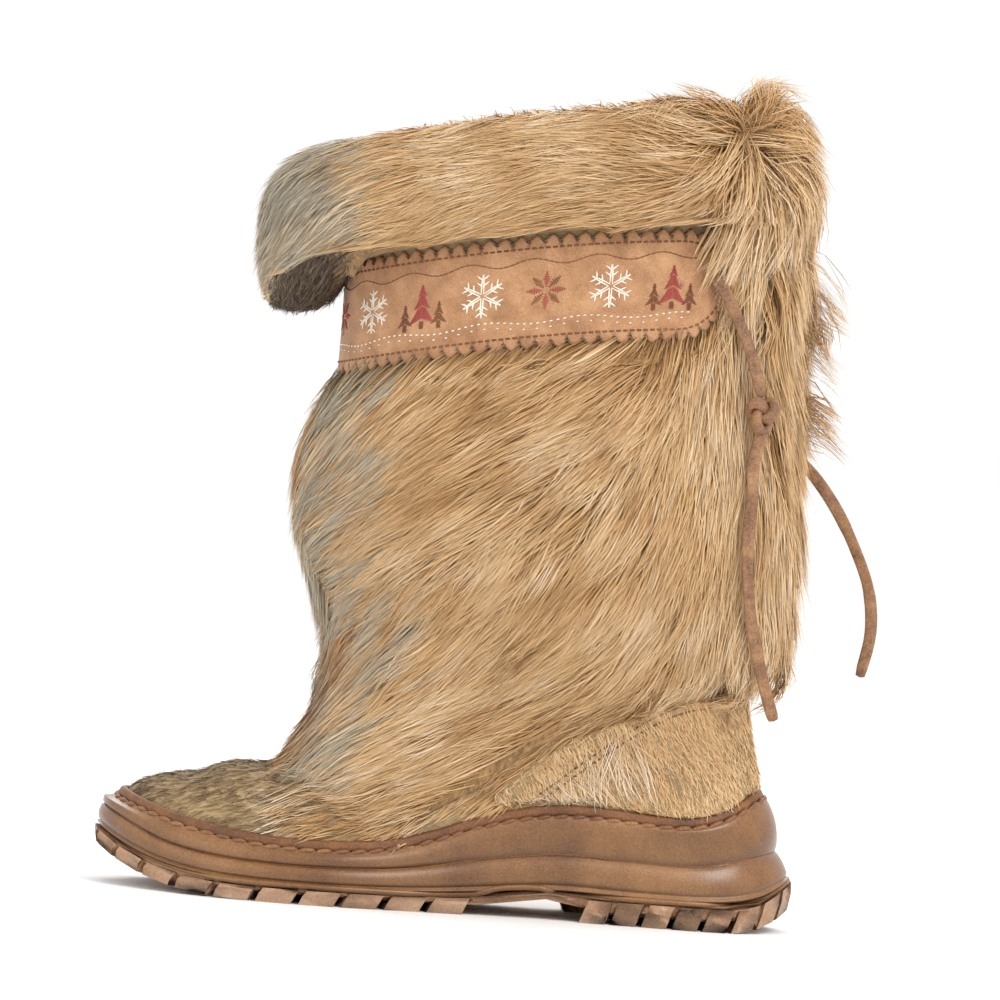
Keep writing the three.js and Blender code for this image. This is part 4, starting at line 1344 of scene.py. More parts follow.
@dataclass
class Furs:
    """All the long hair of the boot, with the soft coats below it."""

    hide: Skin
    band: "Band"
    hair: bpy.types.Material
    shaded_brow: bpy.types.Material
    underwool: bpy.types.Material
    shrink: float = 0.4
    tuft_heights_mm: tuple[float, ...] = (262.0, 247.0, 230.0, 214.0)
    tuft_locks: int = 4
    edge_locks: int = 260
    shaft_locks: int = 1230
    cuff_locks: int = 1080
    cuff_back: Zone = Zone(low=(-1.0, -1.0, 0.26), high=(-0.004, 1.0, 0.305))
    cuff_rim: Zone = Zone(low=(-1.0, -1.0, 0.285))
    cuff_brow: Zone = Zone(low=(0.15, -1.0, -1.0), high=(1.0, 1.0, 0.26))

    def coat(self, node: str, name: str) -> tuple[Skin, Skin]:
        """Builds the soft coat under long hair, drawn in towards the hide.

        Args:
            node: the fur's solid.
            name: the coat's name.

        Returns:
            The fur's outer and inner surfaces, at its full depth.
        """
        full = smooth_copy(node, name, 180.0, 1, 6)
        outer, inner = Skin(full, facing_sideways), Skin(full, facing_in)
        move_points(full, self.draw_in)
        adopt(full, node, [self.underwool])
        return outer, inner

    def draw_in(self, points: Array, normals: Array) -> Array:
        """Draws a coat in towards the hide, except at the cuff's brow.

        Args:
            points: the coat's points.
            normals: its normals, which aren't needed.

        Returns:
            The moved points.
        """
        brow = smooth(points[:, 0], 0.125, 0.146) * smooth(points[:, 2], 0.215, 0.235)
        share = self.shrink * (1 - 0.9 * brow)[:, None]
        return points + (self.hide.nearest(points)[0] - points) * share

    def cuff_lift(self, place: Array) -> Array:
        """Tells how far the cuff's locks stand out: most at the whorl and down the back.

        Args:
            place: the locks' roots.

        Returns:
            Heights in mm.
        """
        far = np.linalg.norm(from_whorl(place), axis=1)
        back = smooth(-place[:, 0], -0.012, 0.02)
        crown = smooth(place[:, 2], 0.32, 0.335)
        return 1.5 + 3.5 * back + 2.0 * smooth(-far, -0.04, -0.01) + 4.0 * back * crown

    def shaft_lift(self, place: Array) -> Array:
        """Tells how far the shaft's locks stand out, in mm: most at the back and the front."""
        x = place[:, 0]
        return 1.2 + 3.0 * smooth(-x, 0.012, 0.03) + 1.5 * smooth(x, 0.14, 0.16)

    def band_roots(self, sign: int, count: int, rng: np.random.Generator) -> Array:
        """Scatters hair roots on the hide just outside the band's edge.

        Args:
            sign: 1 for the outer side and -1 for the inner side.
            count: how many.
            rng: the random generator.

        Returns:
            The roots.
        """
        edge = self.band.outline(-0.3, 1.5)
        far = self.band.half_length - np.abs(edge[:, 0])
        edge = edge[(edge[:, 0] * sign > 0) & (edge[:, 1] < 0) & (far > 1.5)]
        pick = edge[rng.integers(0, len(edge), count)]
        pick = pick + rng.normal(0, 1.2, pick.shape) - np.array([0.0, 0.8])
        return self.band.place(pick, 0.0)[0]

    def back_spots(self, rng: np.random.Generator) -> Array:
        """Picks the roots of the tufts that stand out down the back.

        Args:
            rng: the random generator.

        Returns:
            The roots, near the shaft's back edge.
        """
        high = np.repeat(self.tuft_heights_mm, self.tuft_locks)
        high = high + rng.normal(0, 3.0, len(high))
        aside = rng.normal(0, 9.0, len(high))
        return np.stack([np.full(len(high), -45.0), aside, high], 1) * MM

    def build(self) -> None:
        """Grows every coat of long hair."""
        shaft, _ = self.coat("shaft_fur", "shaft_underwool")
        cuff, under = self.coat("cuff_fur", "cuff_underwool")
        common = {"material": self.hair, "slot": "long_fur", "tone": fur_tone, "base": self.hide}
        # The inner side, which is seen least, has fewer locks.
        for side, sign, seed, share in (("outer", 1, 11, 1.0), ("inner", -1, 12, 0.7)):
            half = Zone(low=(-1.0, 0.0, -1.0)) if sign > 0 else Zone(high=(1.0, 0.0, 1.0))
            edge = self.band_roots(sign, int(self.edge_locks * share), np.random.default_rng(seed))
            Fleece(
                f"shaft_hair_{side}", shaft, shaft_flow, int(self.shaft_locks * share), 26, 36.0,
                seed=seed, where=half, lift_mm=self.shaft_lift, overhang=0.8, **common,
            ).grow()
            Fleece(
                f"cuff_hair_{side}", cuff, cuff_flow, int(self.cuff_locks * share), 26, 32.0,
                seed=seed + 10, where=half, lift_mm=self.cuff_lift, stray=0.06,
                overhang=cuff_overhang, length=brow_length, **common,
            ).grow()
            Fleece(
                f"band_edge_hair_{side}", self.hide, shaft_flow, 0, 14, 24.0, seed=seed + 20,
                roots=edge, root_mm=0.2, lift_mm=7.5, spread_mm=1.6, **common,
            ).grow()
        Fleece(
            "cuff_tufts", cuff, tuft_flow, 340, 18, 46.0, seed=51, where=self.cuff_back,
            overhang=1.0, lift_mm=8.5, gather=0.9, wander=0.3, stray=0.1, spread_mm=3.2, **common,
        ).grow()
        spots = self.back_spots(np.random.default_rng(54))
        Fleece(
            "back_tufts", shaft, spur_flow, 0, 34, 21.0, seed=53, roots=spots, lift_mm=13.0,
            gather=0.97, spread_mm=3.6, overhang=0.5, wander=0.2, root_mm=-3.0, **common,
        ).grow()
        Fleece(
            "rim_hair", under, rim_flow, 330, 13, 13.0, seed=55, where=self.cuff_rim,
            overhang=0.3, steps=2, lift_mm=1.6, root_mm=-0.5, gather=0.4, **common,
        ).grow()
        # The hair under the brow takes the dark copy of the hair, as painted shade.
        shaded_brow = dict(common, tone=brow_tone, material=self.shaded_brow)
        Fleece(
            "brow_hair", under, tuft_flow, 340, 15, 8.0, seed=52, where=self.cuff_brow,
            overhang=0.0, lift_mm=1.2, root_mm=-1.0, gather=0.3, **shaded_brow,
        ).grow()


class ShortAreas:
    """Where the short hair grows, clear of the welt's top."""

    def __init__(self, seam: tuple[tuple[float, float], ...]) -> None:
        """Measures the welt's top edge.

        Args:
            seam: the heel panel's edge, as x and height in mm.
        """
        welt, _ = read_mesh(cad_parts["welt_strip"])
        self.steps = np.linspace(welt[:, 0].min(), welt[:, 0].max(), 40)
        near = [np.abs(welt[:, 0] - at) < 5 * MM for at in self.steps]
        self.tops = np.array([welt[rows, 2].max(initial=0) for rows in near])
        self.seam = np.array(seam).T

    def clear(self, centre: Array, extra_mm: float) -> Array:
        """Tells which triangles lie more than a distance over the welt.

        Args:
            centre: the triangles' centres.
            extra_mm: the distance.

        Returns:
            True for each that does.
        """
        return centre[:, 2] > np.interp(centre[:, 0], self.steps, self.tops) + extra_mm * MM

    def toe(self, centre: Array, normal: Array) -> Array:
        """Gives the toe's share of hair, which thins out towards the instep.

        Args:
            centre: the triangles' centres.
            normal: their normals, which aren't needed.

        Returns:
            Each triangle's share.
        """
        on_toe = (centre[:, 2] < 66 * MM) & (centre[:, 0] > 0.1) & self.clear(centre, 0.5)
        return on_toe.astype(float) * (0.4 + 0.6 * smooth(centre[:, 0], 0.13, 0.15))

    def vamp(self, centre: Array, normal: Array) -> Array:
        """Gives the share of hair where long hair hangs from under the shaft's fur.

        Args:
            centre: the triangles' centres.
            normal: their normals, which aren't needed.

        Returns:
            Each triangle's share.
        """
        x, z = centre[:, 0] / MM, centre[:, 2] / MM
        over = z - np.interp(x, *self.seam)
        beside_panel = (x > 2) & (x <= 66) & (over > 1 + 8 * smooth(-x, -35, -20)) & (over < 20)
        before_panel = (x > 66) & (x < 158) & (z < 76) & ~((x > 130) & (z > 48))
        return ((beside_panel | before_panel) & self.clear(centre, 2.0)).astype(float)

    def panel(self, centre: Array, normal: Array) -> Array:
        """Gives the heel panel's share of hair: all of it, over the welt."""
        return self.clear(centre, 1.0).astype(float)


@dataclass
class Upper:
    """The hide shell with its lining, creases, heel panel and short hair."""

    hide: bpy.types.Material
    lining: bpy.types.Material
    toe_hair: bpy.types.Material
    panel_hair: bpy.types.Material
    long_hair: bpy.types.Material
    thread: bpy.types.Material
    # Each fold's x and width in mm, its skew, and its height in mm.
    creases: tuple[tuple[float, float, float, float], ...] = (
        (182.0, 10.0, 0.0, 2.4),
        (154.5, 6.5, 0.15, -5.5),
        (168.0, 3.0, -0.35, -1.6),
        (196.0, 4.0, 0.3, -1.1),
        (143.0, 5.0, 0.2, 1.5),
    )
    # The heel panel's edge, as x and height in mm.
    seam: tuple[tuple[float, float], ...] = (
        (-20, 95), (-1, 92.5), (14, 85), (30, 73.5), (50, 57), (66, 43),
    )
    stitch_mm: float = 2.1
    stitch_pitch_mm: float = 2.9
    seam_rows_mm: tuple[float, float] = (1.6, 4.8)
    wisp_count: int = 130

    def crease(self, points: Array, normals: Array) -> Array:
        """Folds the toe's top, each fold a line across the foot.

        Args:
            points: the shell's points.
            normals: its normals, which aren't used.

        Returns:
            The moved points.
        """
        x, y, z = (points / MM).T
        on_top = smooth(z, 30, 42) * smooth(-z, -70, -60) * smooth(x, 110, 130)
        rise = np.zeros(len(points))
        for at, wide, skew, high in self.creases:
            across = (x - at - skew * y) / wide
            rise += high * np.exp(-(across**2)) * smooth(-np.abs(y), -40, -18)
        moved = points.copy()
        moved[:, 2] += rise * on_top * MM
        return moved

    def build(self) -> Skin:
        """Builds the shell and the heel panel with their short hair and seams.

        Returns:
            The hide's outer surface.
        """
        shell = smooth_copy("upper", "hide_shell", 60.0, 2)
        move_points(shell, self.crease)
        adopt(shell, "upper", [self.hide, self.lining])
        mesh = shell.data
        centre = np.array([f.center[:] for f in mesh.polygons])
        normal = np.array([f.normal[:] for f in mesh.polygons])
        spine = centre * [1.0, 0.0, 1.0]
        spine[:, 0] = np.clip(spine[:, 0], -5 * MM, AXIS_X)
        inward = ((centre - spine) * normal).sum(1) < 0
        inward &= centre[:, 2] > ANKLE
        for face, inside in zip(mesh.polygons, inward):
            face.material_index = int(inside)
        outer = Skin(shell, hide_outside)
        panel = smooth_copy("heel_counter", "heel_panel", 50.0, 1)
        adopt(panel, "heel_counter", [self.hide])
        panel_skin = Skin(panel, facing_out)
        self.sew(panel_skin, outer)
        self.dress(outer, panel_skin)
        return outer

    def sew(self, panel: Skin, hide: Skin) -> None:
        """Sews the double seam along the heel panel's edge.

        Args:
            panel: the heel panel's surface.
            hide: the hide's surface, which isn't used.
        """
        seam = Threads("heel_panel_stitches", self.thread, "hair_hide")
        route = spline(np.array(self.seam, dtype=float), 12)
        run = lengths_along(route)
        for sign in (1, -1):
            for inset in self.seam_rows_mm:
                for start in np.arange(1.0, run[-1] - 3, self.stitch_pitch_mm):
                    marks = np.linspace(start, start + self.stitch_mm, 4)
                    x = np.interp(marks, run, route[:, 0])
                    z = np.interp(marks, run, route[:, 1]) - inset
                    origin = np.stack([x, np.full(4, sign * 120.0), z], 1) * MM
                    aim = np.tile([0.0, -sign, 0.0], (4, 1))
                    spot, hit = panel.cast(origin, aim)
                    if not hit.all():
                        continue
                    seam.lay(spot - aim * 0.25 * MM, -aim, 0.85 * MM, 0.7 * MM, sink=0.3 * MM)
        seam.make()

    def dress(self, hide: Skin, panel: Skin) -> None:
        """Grows the short hair of the toe, the sides and the heel panel.

        Args:
            hide: the hide's surface.
            panel: the heel panel's surface.
        """
        area = ShortAreas(self.seam)
        common = {"slot": "hair_hide", "root_mm": -0.3, "stray": 0.02}
        Fleece(
            "toe_hair", hide, toe_flow, 2250, 12, 5.8, self.toe_hair, seed=31, where=area.toe,
            width_mm=0.5, steps=2, spread_mm=1.9, gather=0.1, lift_mm=0.2, tone=toe_tone,
            overhang=0.2, wander=0.07, **common,
        ).grow()
        Fleece(
            "vamp_hair", hide, vamp_flow, 760, 17, 14.0, self.long_hair, seed=32, where=area.vamp,
            width_mm=0.42, spread_mm=2.6, lift_mm=1.5, tone=vamp_tone, overhang=0.05, gather=0.35,
            **common,
        ).grow()
        Fleece(
            "heel_panel_hair", panel, heel_flow, 2000, 11, 4.8, self.panel_hair, seed=33,
            where=area.panel, width_mm=0.48, steps=2, spread_mm=1.4, gather=0.15, lift_mm=0.35,
            tone=heel_tone, overhang=0.1, **common,
        ).grow()
        self.wisps(panel, common)

    def wisps(self, panel: Skin, common: dict) -> None:
        """Hangs pale wisps over the front of the seam.

        Args:
            panel: the heel panel's surface.
            common: what the short hairs share.
        """
        rng = np.random.default_rng(41)
        route = spline(np.array(self.seam, dtype=float), 12)
        run = lengths_along(route)
        count = self.wisp_count
        marks = run[-1] * rng.uniform(0.42, 0.99, count)
        sign = np.where(rng.random(count) < 0.5, 1.0, -1.0)
        x, z = (np.interp(marks, run, route[:, k]) for k in range(2))
        start = np.stack([x, sign * 120, z - rng.uniform(0.5, 4.0, count)], 1)
        spot, hit = panel.cast(start * MM, np.stack([sign * 0, -sign, sign * 0], 1))
        Fleece(
            "seam_wisps", panel, wisp_flow, 0, 5, 30.0, self.panel_hair, seed=42, roots=spot[hit],
            width_mm=0.27, length=wisp_length, spread_mm=2.4, gather=0.2, lift_mm=2.2, wander=0.4,
            tone=wisp_tone, overhang=0.1, **common,
        ).grow()


# Sole
@dataclass
class Sole:
    """The moulded cup, its tread, the welt with its stitches, and the insole."""

    cup: bpy.types.Material
    tread: bpy.types.Material
    welt: bpy.types.Material
    felt: bpy.types.Material
    thread: bpy.types.Material
    stitch_pitch_mm: float = 7.0
    stitch_mm: float = 6.5
    length_mm: float = 285.0
    heel_end_mm: float = -49.0
    rand_mm: float = 48.0
    groove_up_mm: float = 0.5
    heel_x: float = -0.004
    toe_x: float = 0.168
    # Share of the length from the heel, with the height of the groove and of the rand there as
    # shares of rand_mm.
    lines: tuple[tuple[float, float, float], ...] = (
        (0.0, 0.7, 1.22), (0.06, 0.63, 1.2), (0.105, 0.54, 1.0), (0.16, 0.51, 0.92),
        (0.24, 0.52, 0.96), (0.32, 0.55, 1.0), (0.4, 0.5, 0.95), (0.47, 0.43, 0.8),
        (0.58, 0.32, 0.56), (0.73, 0.31, 0.54), (0.83, 0.34, 0.6), (0.9, 0.41, 0.69),
        (0.955, 0.57, 0.8), (1.0, 0.68, 0.88),
    )

    def build(self) -> None:
        """Builds the sole's pieces."""
        cup = smooth_copy("cup_sidewall", "moulded_cup", 38.0, 2)
        adopt(cup, "cup_sidewall", [self.cup])
        skin = Skin(cup)
        adopt(smooth_copy("welt_strip", "welt", 40.0, 1), "welt_strip", [self.welt])
        tread = smooth_copy("outsole", "lugged_tread", 35.0, 0, 0, 0.9)
        adopt(tread, "outsole", [self.tread])
        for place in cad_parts["insole"].material_slots:
            place.material = self.felt
        self.sew(skin)
        self.score(skin)

    def round_path(self, skin: Skin, height: Callable[[Array], Array]) -> tuple[Array, Array]:
        """Follows a line round the outside of the sole.

        Args:
            skin: the surface that it lies on.
            height: its height at each x.

        Returns:
            A closed ring of points, and the outward directions.
        """
        quarter = math.pi / 2
        arc = np.linspace(-quarter, quarter, 40)
        side = np.linspace(self.heel_x, self.toe_x, len(arc))[1:-1]
        toe, heel = np.full(len(arc), self.toe_x), np.full(len(arc), self.heel_x)
        from_x = np.concatenate([side, toe, side[::-1], heel])
        straight = np.full(len(side), quarter)
        turn = np.concatenate([-straight, arc, straight, arc + math.pi])
        out = np.stack([np.cos(turn), np.sin(turn), turn * 0], 1)
        start = out * 0.15
        start[:, 0] += from_x
        near = start - out * 0.1
        spots = near
        for _ in range(4):
            near[:, 2] = start[:, 2] = height(spots[:, 0])
            found, hit = skin.cast(start, -out)
            spots = np.where(hit[:, None], found, skin.nearest(near)[0])
        return np.vstack([spots, spots[:1]]), np.vstack([out, out[:1]])

    def side_line(self, column: int, x: Array) -> Array:
        """Height of the groove or of the rand at x, in metres."""
        table = np.array(self.lines)
        along = (x / MM - self.heel_end_mm) / self.length_mm
        return through(along, table[:, 0], table[:, column]) * self.rand_mm * MM

    def foot_line(self, x: Array) -> Array:
        """Gives the height where the cup stands on its tread.

        Args:
            x: places along the boot, in metres.

        Returns:
            Heights in metres.
        """
        toe = 17.0 * np.clip((x / MM - 160) / 76, 0, 1) ** 3
        heel = 12.1 * np.clip(1 - (x / MM - self.heel_end_mm) / 24, 0, 1) ** 2
        arch = 2.4 * np.clip(1 - np.abs(x / MM - 61.5) ** 3 / 16.5**3, 0, 1)
        return (10.5 - 3.5 * smooth(x, 0.045, 0.103) + arch + toe + heel) * MM

    def rim(self, skin: Skin) -> tuple[Array, Array]:
        """Finds the outer edge of the cup's lip.

        Args:
            skin: the cup's surface.

        Returns:
            A closed ring of points, and the outward directions.
        """
        line, out = self.round_path(skin, lambda x: self.side_line(2, x) - 8 * MM)
        top = line.copy()
        done = np.zeros(len(line), dtype=bool)
        for up in np.arange(6.0, -3.0, -0.4):
            start = line + out * 0.03
            start[:, 2] += up * MM
            spot, hit = skin.cast(start, -out)
            hit &= (np.linalg.norm(spot - start, axis=1) < 0.045) & ~done
            top[hit] = spot[hit]
            done |= hit
        even = np.ones(5) / 5
        high = np.convolve(np.concatenate([top[-3:-1, 2], top[:, 2], top[1:3, 2]]), even, "valid")
        top[:, 2] = high
        return top, out

    def sew(self, skin: Skin) -> None:
        """Lays the lock stitches where the welt meets the cup's lip.

        Args:
            skin: the cup's surface.
        """
        line, out = self.rim(skin)
        run = lengths_along(line)
        count = int(run[-1] / (self.stitch_pitch_mm * MM))
        pitch = run[-1] / count
        seam = Threads("welt_stitches", self.thread, "welt_leather", sides=8)
        slant = (np.linspace(-0.45, 0.45, 6) + 0.1) * MM
        for k in range(count):
            marks = (pitch * k + np.linspace(0, self.stitch_mm * MM, 6)) % run[-1]
            route = np.stack([np.interp(marks, run, line[:, a]) for a in range(3)], 1)
            face = np.stack([np.interp(marks, run, out[:, a]) for a in range(3)], 1)
            route[:, 2] += slant
            face[:, 2] += 0.7
            wide = 2.0 * MM * np.array([0.55, 0.9, 1.0, 1.0, 0.9, 0.55])
            seam.lay(route, unit(face), wide, wide * 0.85, sink=0.6 * MM)
        seam.make()

    def score(self, skin: Skin) -> None:
        """Draws the engraved line round the cup, and the light rib where it stands on its tread.

        Args:
            skin: the cup's surface.
        """
        up = self.groove_up_mm * MM
        line, out = self.round_path(skin, lambda x: self.side_line(1, x) + up)
        bead = Threads("cup_groove_line", self.welt, "sole_rubber", sides=6)
        bead.lay(line - out * 0.25 * MM, out, 0.9 * MM, 0.8 * MM)
        bead.make()
        line, out = self.round_path(skin, lambda x: self.foot_line(x) + 1.3 * MM)
        rib = Threads("cup_foot_rib", self.cup, "sole_rubber", sides=8)
        line[:, 2] -= 1.0 * MM
        rib.lay(line - out * 0.1 * MM, out, 2.6 * MM, 2.2 * MM)
        rib.make()


# Band
class Motif(Enum):
    """The embroidered figures of the band."""

    FLAKE = "flake"
    TREES = "trees"
    STAR = "star"


@dataclass
class Band:
    """The suede band with pinked edges, its stitch line and its embroidered frieze."""

    hide: Skin
    suede: bpy.types.Material
    brown: bpy.types.Material
    red: bpy.types.Material
    white: bpy.types.Material
    height_mm: float = 46.0
    end_x_mm: float = -4.0
    end_round_mm: float = 25.0
    tooth_pitch_mm: float = 6.2
    tooth_depth_mm: float = 2.7
    stitch_inset_mm: float = 5.4
    face_mm: float = 2.0
    rings: tuple[float, ...] = (1.0, 0.955, 0.86, 0.7, 0.5, 0.3, 0.12, 0.0)
    motif_pitch_mm: float = 25.0
    order: tuple[Motif, ...] = (
        Motif.TREES, Motif.FLAKE, Motif.STAR, Motif.FLAKE, Motif.TREES, Motif.FLAKE, Motif.STAR,
    )
    table: Array = field(init=False)

    def measure(self) -> None:
        """Finds the band's middle line on the hide: turn, length and height by row."""
        turns = np.linspace(0, math.pi * 0.985, 400)
        height = np.full(400, 0.25)
        for _ in range(4):
            spots = self.on_hide(turns, height)
            height = band_low(spots[:, 0]) + self.height_mm / 2 * MM
        spots = self.on_hide(turns, height)
        keep = spots[:, 0] > self.end_x_mm * MM
        self.table = np.stack([turns, lengths_along(spots), height], 1)[keep]

    def on_hide(self, turns: Array, height: Array) -> Array:
        """Finds the hide's outer face.

        Args:
            turns: angles about the shaft's middle, from the front.
            height: heights there, in metres.

        Returns:
            The points.
        """
        aim = np.stack([np.cos(turns), np.sin(turns), np.zeros(len(turns))], 1)
        start = aim * 0.3 + np.array([AXIS_X, 0, 0])
        start[:, 2] = height
        return self.hide.cast(start, -aim)[0]

    def place(self, plan: Array, lift_mm: Array | float) -> tuple[Array, Array]:
        """Sets points of the band's flat plan on the boot.

        Args:
            plan: distance round from the front and height over the middle line, in mm.
            lift_mm: height over the hide.

        Returns:
            The points and the outward directions.
        """
        _, run, height = self.table.T
        far = np.abs(plan[:, 0]) * MM
        turns = np.interp(far, run, self.table[:, 0]) * np.sign(plan[:, 0] + TINY)
        spots = self.on_hide(turns, np.interp(far, run, height) + plan[:, 1] * MM)
        out = np.stack([np.cos(turns), np.sin(turns), np.zeros(len(turns))], 1)
        return spots + out * (np.broadcast_to(lift_mm, len(plan)) * MM)[:, None], out

    @property
    def half_length(self) -> float:
        """Half the band's length, in mm."""
        return float(self.table[-1, 1] / MM)

    def outline(self, inset_mm: float, step_mm: float) -> Array:
        """Traces the band's outline in its plan.

        Args:
            inset_mm: how far in from the edge.
            step_mm: distance between points, about.

        Returns:
            A closed ring of points.
        """
        high = self.height_mm / 2 - inset_mm
        end = self.end_round_mm - inset_mm
        straight = self.half_length - self.end_round_mm
        arc = np.linspace(-math.pi / 2, math.pi / 2, 60)
        right = np.stack([straight + end * np.cos(arc), high * np.sin(arc)], 1)
        ring = np.vstack([right, -right, right[:1]])
        run = lengths_along(ring)
        count = max(8, round(run[-1] / step_mm / 4) * 4)
        marks = np.linspace(0, run[-1], count, endpoint=False)
        return np.stack([np.interp(marks, run, ring[:, k]) for k in range(2)], 1)

    def build(self) -> None:
        """Builds the strip, its stitches and its frieze."""
        self.measure()
        LOG.info("band is %.0f mm long", 2 * self.half_length)
        self.strip()
        self.sew()
        self.embroider()

    def strip(self) -> None:
        """Builds the suede strip as a closed thin body."""
        edge = self.outline(0.0, self.tooth_pitch_mm / 4)
        count = len(edge)
        ahead = unit(np.roll(edge, -1, 0) - np.roll(edge, 1, 0))
        outward = np.stack([ahead[:, 1], -ahead[:, 0]], 1)
        phase = (np.arange(count) % 4) / 4
        tooth = 1 - np.abs(phase * 2 - 1)
        toothed = edge - outward * ((1 - tooth) * self.tooth_depth_mm)[:, None]
        straight = self.half_length - self.end_round_mm
        middle = np.stack([np.clip(edge[:, 0], -straight, straight), np.zeros(count)], 1)
        rows = []
        for k, share in enumerate(self.rings):
            ring = middle + (edge - middle) * share
            if k == 0:
                ring = toothed
            elif k == 1:
                ring = middle + (toothed - middle) * share
            lift = self.face_mm - (0.45 if k == 0 else 0.0)
            rows.append(self.place(ring, lift)[0])
        under = [self.place(toothed, 0.3)[0], self.place(middle, 0.3)[0]]
        rings = [*rows[::-1], *under]
        points = np.concatenate(rings)
        k = np.arange(count)
        n = (k + 1) % count
        faces = []
        for r in range(len(rings) - 1):
            low, top = r * count, (r + 1) * count
            faces.append(np.stack([low + k, top + k, top + n], 1))
            faces.append(np.stack([low + k, top + n, low + n], 1))
        strip = mesh_object("suede_band", points, np.concatenate(faces), self.suede, "band_suede")
        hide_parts("band")

    def sew(self) -> None:
        """Sews the dotted line inside the pinked edge."""
        seam = Threads("band_edge_stitches", self.brown, "band_suede")
        edge = self.outline(self.stitch_inset_mm, 0.9)
        for k in range(0, len(edge) - 2, 3):
            spot, out = self.place(edge[k : k + 3], self.face_mm + 0.1)
            seam.lay(spot, out, 0.9 * MM, 0.7 * MM, sink=0.25 * MM)
        seam.make()

    def line(self, threads: Threads, plan: list[tuple[float, float]], width: float = 0.8) -> None:
        """Lays one straight or bent stitch of the frieze.

        Args:
            threads: the thread that it belongs to.
            plan: its points in the band's plan, in mm.
            width: the thread's width in mm.
        """
        spot, out = self.place(np.array(plan, dtype=float), self.face_mm + 0.15)
        ends = np.linspace(-1, 1, len(plan))
        wide = width * MM * (1 - 0.45 * ends**4)
        threads.lay(spot, out, wide, 0.6 * MM, sink=0.2 * MM)

    def flake(self, threads: Threads, at: float, up: float, size: float) -> None:
        """Embroiders a six-armed snowflake.

        Args:
            threads: its thread.
            at: its middle's distance round the band, in mm.
            up: its middle's height over the band's middle line, in mm.
            size: the length of an arm, in mm.
        """
        base = np.array([at, up])
        for arm in range(6):
            angle = math.pi / 6 + arm * math.pi / 3
            ahead = np.array([math.cos(angle), math.sin(angle)])
            aside = np.array([-ahead[1], ahead[0]])
            for shift in (-0.45 * aside, 0.45 * aside):
                stem = [ahead * 0.8 + shift, ahead * size * 0.5 + shift, ahead * size + shift * 0.3]
                self.line(threads, [base + point for point in stem], 0.9)
            for share in (0.45, 0.75):
                root = base + ahead * size * share
                for sign in (1, -1):
                    tip = root + (ahead * 0.75 + aside * sign) * size * 0.27
                    self.line(threads, [root, (root + tip) / 2, tip], 0.9)

    def tree(self, threads: Threads, trunk: Threads, at: float, foot: float, tall: float) -> None:
        """Embroiders a fir tree with three tiers of slanting stitches.

        Args:
            threads: the branches' thread.
            trunk: the trunk's thread.
            at: its distance round the band, in mm.
            foot: the height of its foot over the band's middle line, in mm.
            tall: its height, in mm.
        """
        step = 0.85
        for k in range(int(tall / step)):
            share = k * step / tall
            tier = 1 - (share * 3) % 1
            half = tall * 0.36 * (1 - share) * (0.55 + 0.45 * tier)
            high = foot + share * tall
            for sign in (1, -1):
                middle = (at + sign * half / 2, high + 0.18 * half)
                end = (at + sign * half, high - 0.06 * half)
                self.line(threads, [(at, high + 0.28 * half + 0.5), middle, end], 0.85)
        for x in (at - 0.6, at, at + 0.6):
            self.line(trunk, [(x, foot - 2.4), (x, foot - 1), (x, foot + 0.6)], 0.8)

    def star(self, threads: Threads, centre: Threads, at: float, up: float, size: float) -> None:
        """Embroiders an eight-pointed star of small lozenges.

        Args:
            threads: the thread of its upright arms.
            centre: the thread of its slanting arms.
            at: its middle's distance round the band, in mm.
            up: its middle's height over the band's middle line, in mm.
            size: the length of an arm, in mm.
        """
        base = np.array([at, up])
        for arm in range(8):
            angle = arm * math.pi / 4
            ahead = np.array([math.cos(angle), math.sin(angle)])
            aside = np.array([-ahead[1], ahead[0]])
            thread = threads if arm % 2 == 0 else centre
            for k in range(-3, 4):
                half = size * 0.16 * (1 - abs(k) / 4)
                mid = base + ahead * size * (0.55 + k * 0.11)
                self.line(thread, [mid - aside * half, mid, mid + aside * half], 0.85)

    def embroider(self) -> None:
        """Sews the frieze: snowflakes, fir trees and stars over a dotted line."""
        white = Threads("frieze_white", self.white, "band_suede", sides=4)
        red = Threads("frieze_red", self.red, "band_suede", sides=4)
        brown = Threads("frieze_brown", self.brown, "band_suede", sides=4)
        last = self.half_length - 20
        for side in (1, -1):
            for k, motif in enumerate(self.order):
                at = side * (last - 8 - k * self.motif_pitch_mm)
                if side * at < 4:
                    continue
                if motif is Motif.FLAKE:
                    self.flake(white, at, 0.5, 8.6)
                elif motif is Motif.STAR:
                    self.star(red, brown, at, 0.5, 8.2)
                else:
                    self.tree(red, brown, at, -7.0, 16.0)
                    self.tree(brown, brown, at - 7.5, -7.5, 9.0)
                    self.tree(brown, brown, at + 7.5, -7.5, 9.0)
            self.border(white, brown, side, last)
        for threads in (white, red, brown):
            threads.make()

    def border(self, low: Threads, high: Threads, side: int, last: float) -> None:
        """Sews the dotted lines under the figures and the waved line over them.

        Args:
            low: the thread of the dotted lines.
            high: the thread of the waved line.
            side: 1 for the outer side and -1 for the inner side.
            last: how far round they run, in mm.
        """
        for far in np.arange(3.0, last, 2.6):
            at, up = side * far, -11.6 + 0.9 * math.sin(far * 0.16)
            self.line(low, [(at, up), (at + 0.5, up + 0.1), (at + 1.0, up + 0.2)], 0.85)
            if far % 5.2 < 2.6:
                self.line(low, [(at, up - 2.2), (at + 0.4, up - 2.1), (at + 0.8, up - 2.1)], 0.8)
        for far in np.arange(3.0, last, 2.2):
            marks = (far, far + 1.0, far + 2.0)
            wave = [(side * mark, 12.2 + 1.3 * math.sin(mark * 0.25)) for mark in marks]
            self.line(high, wave, 0.55)


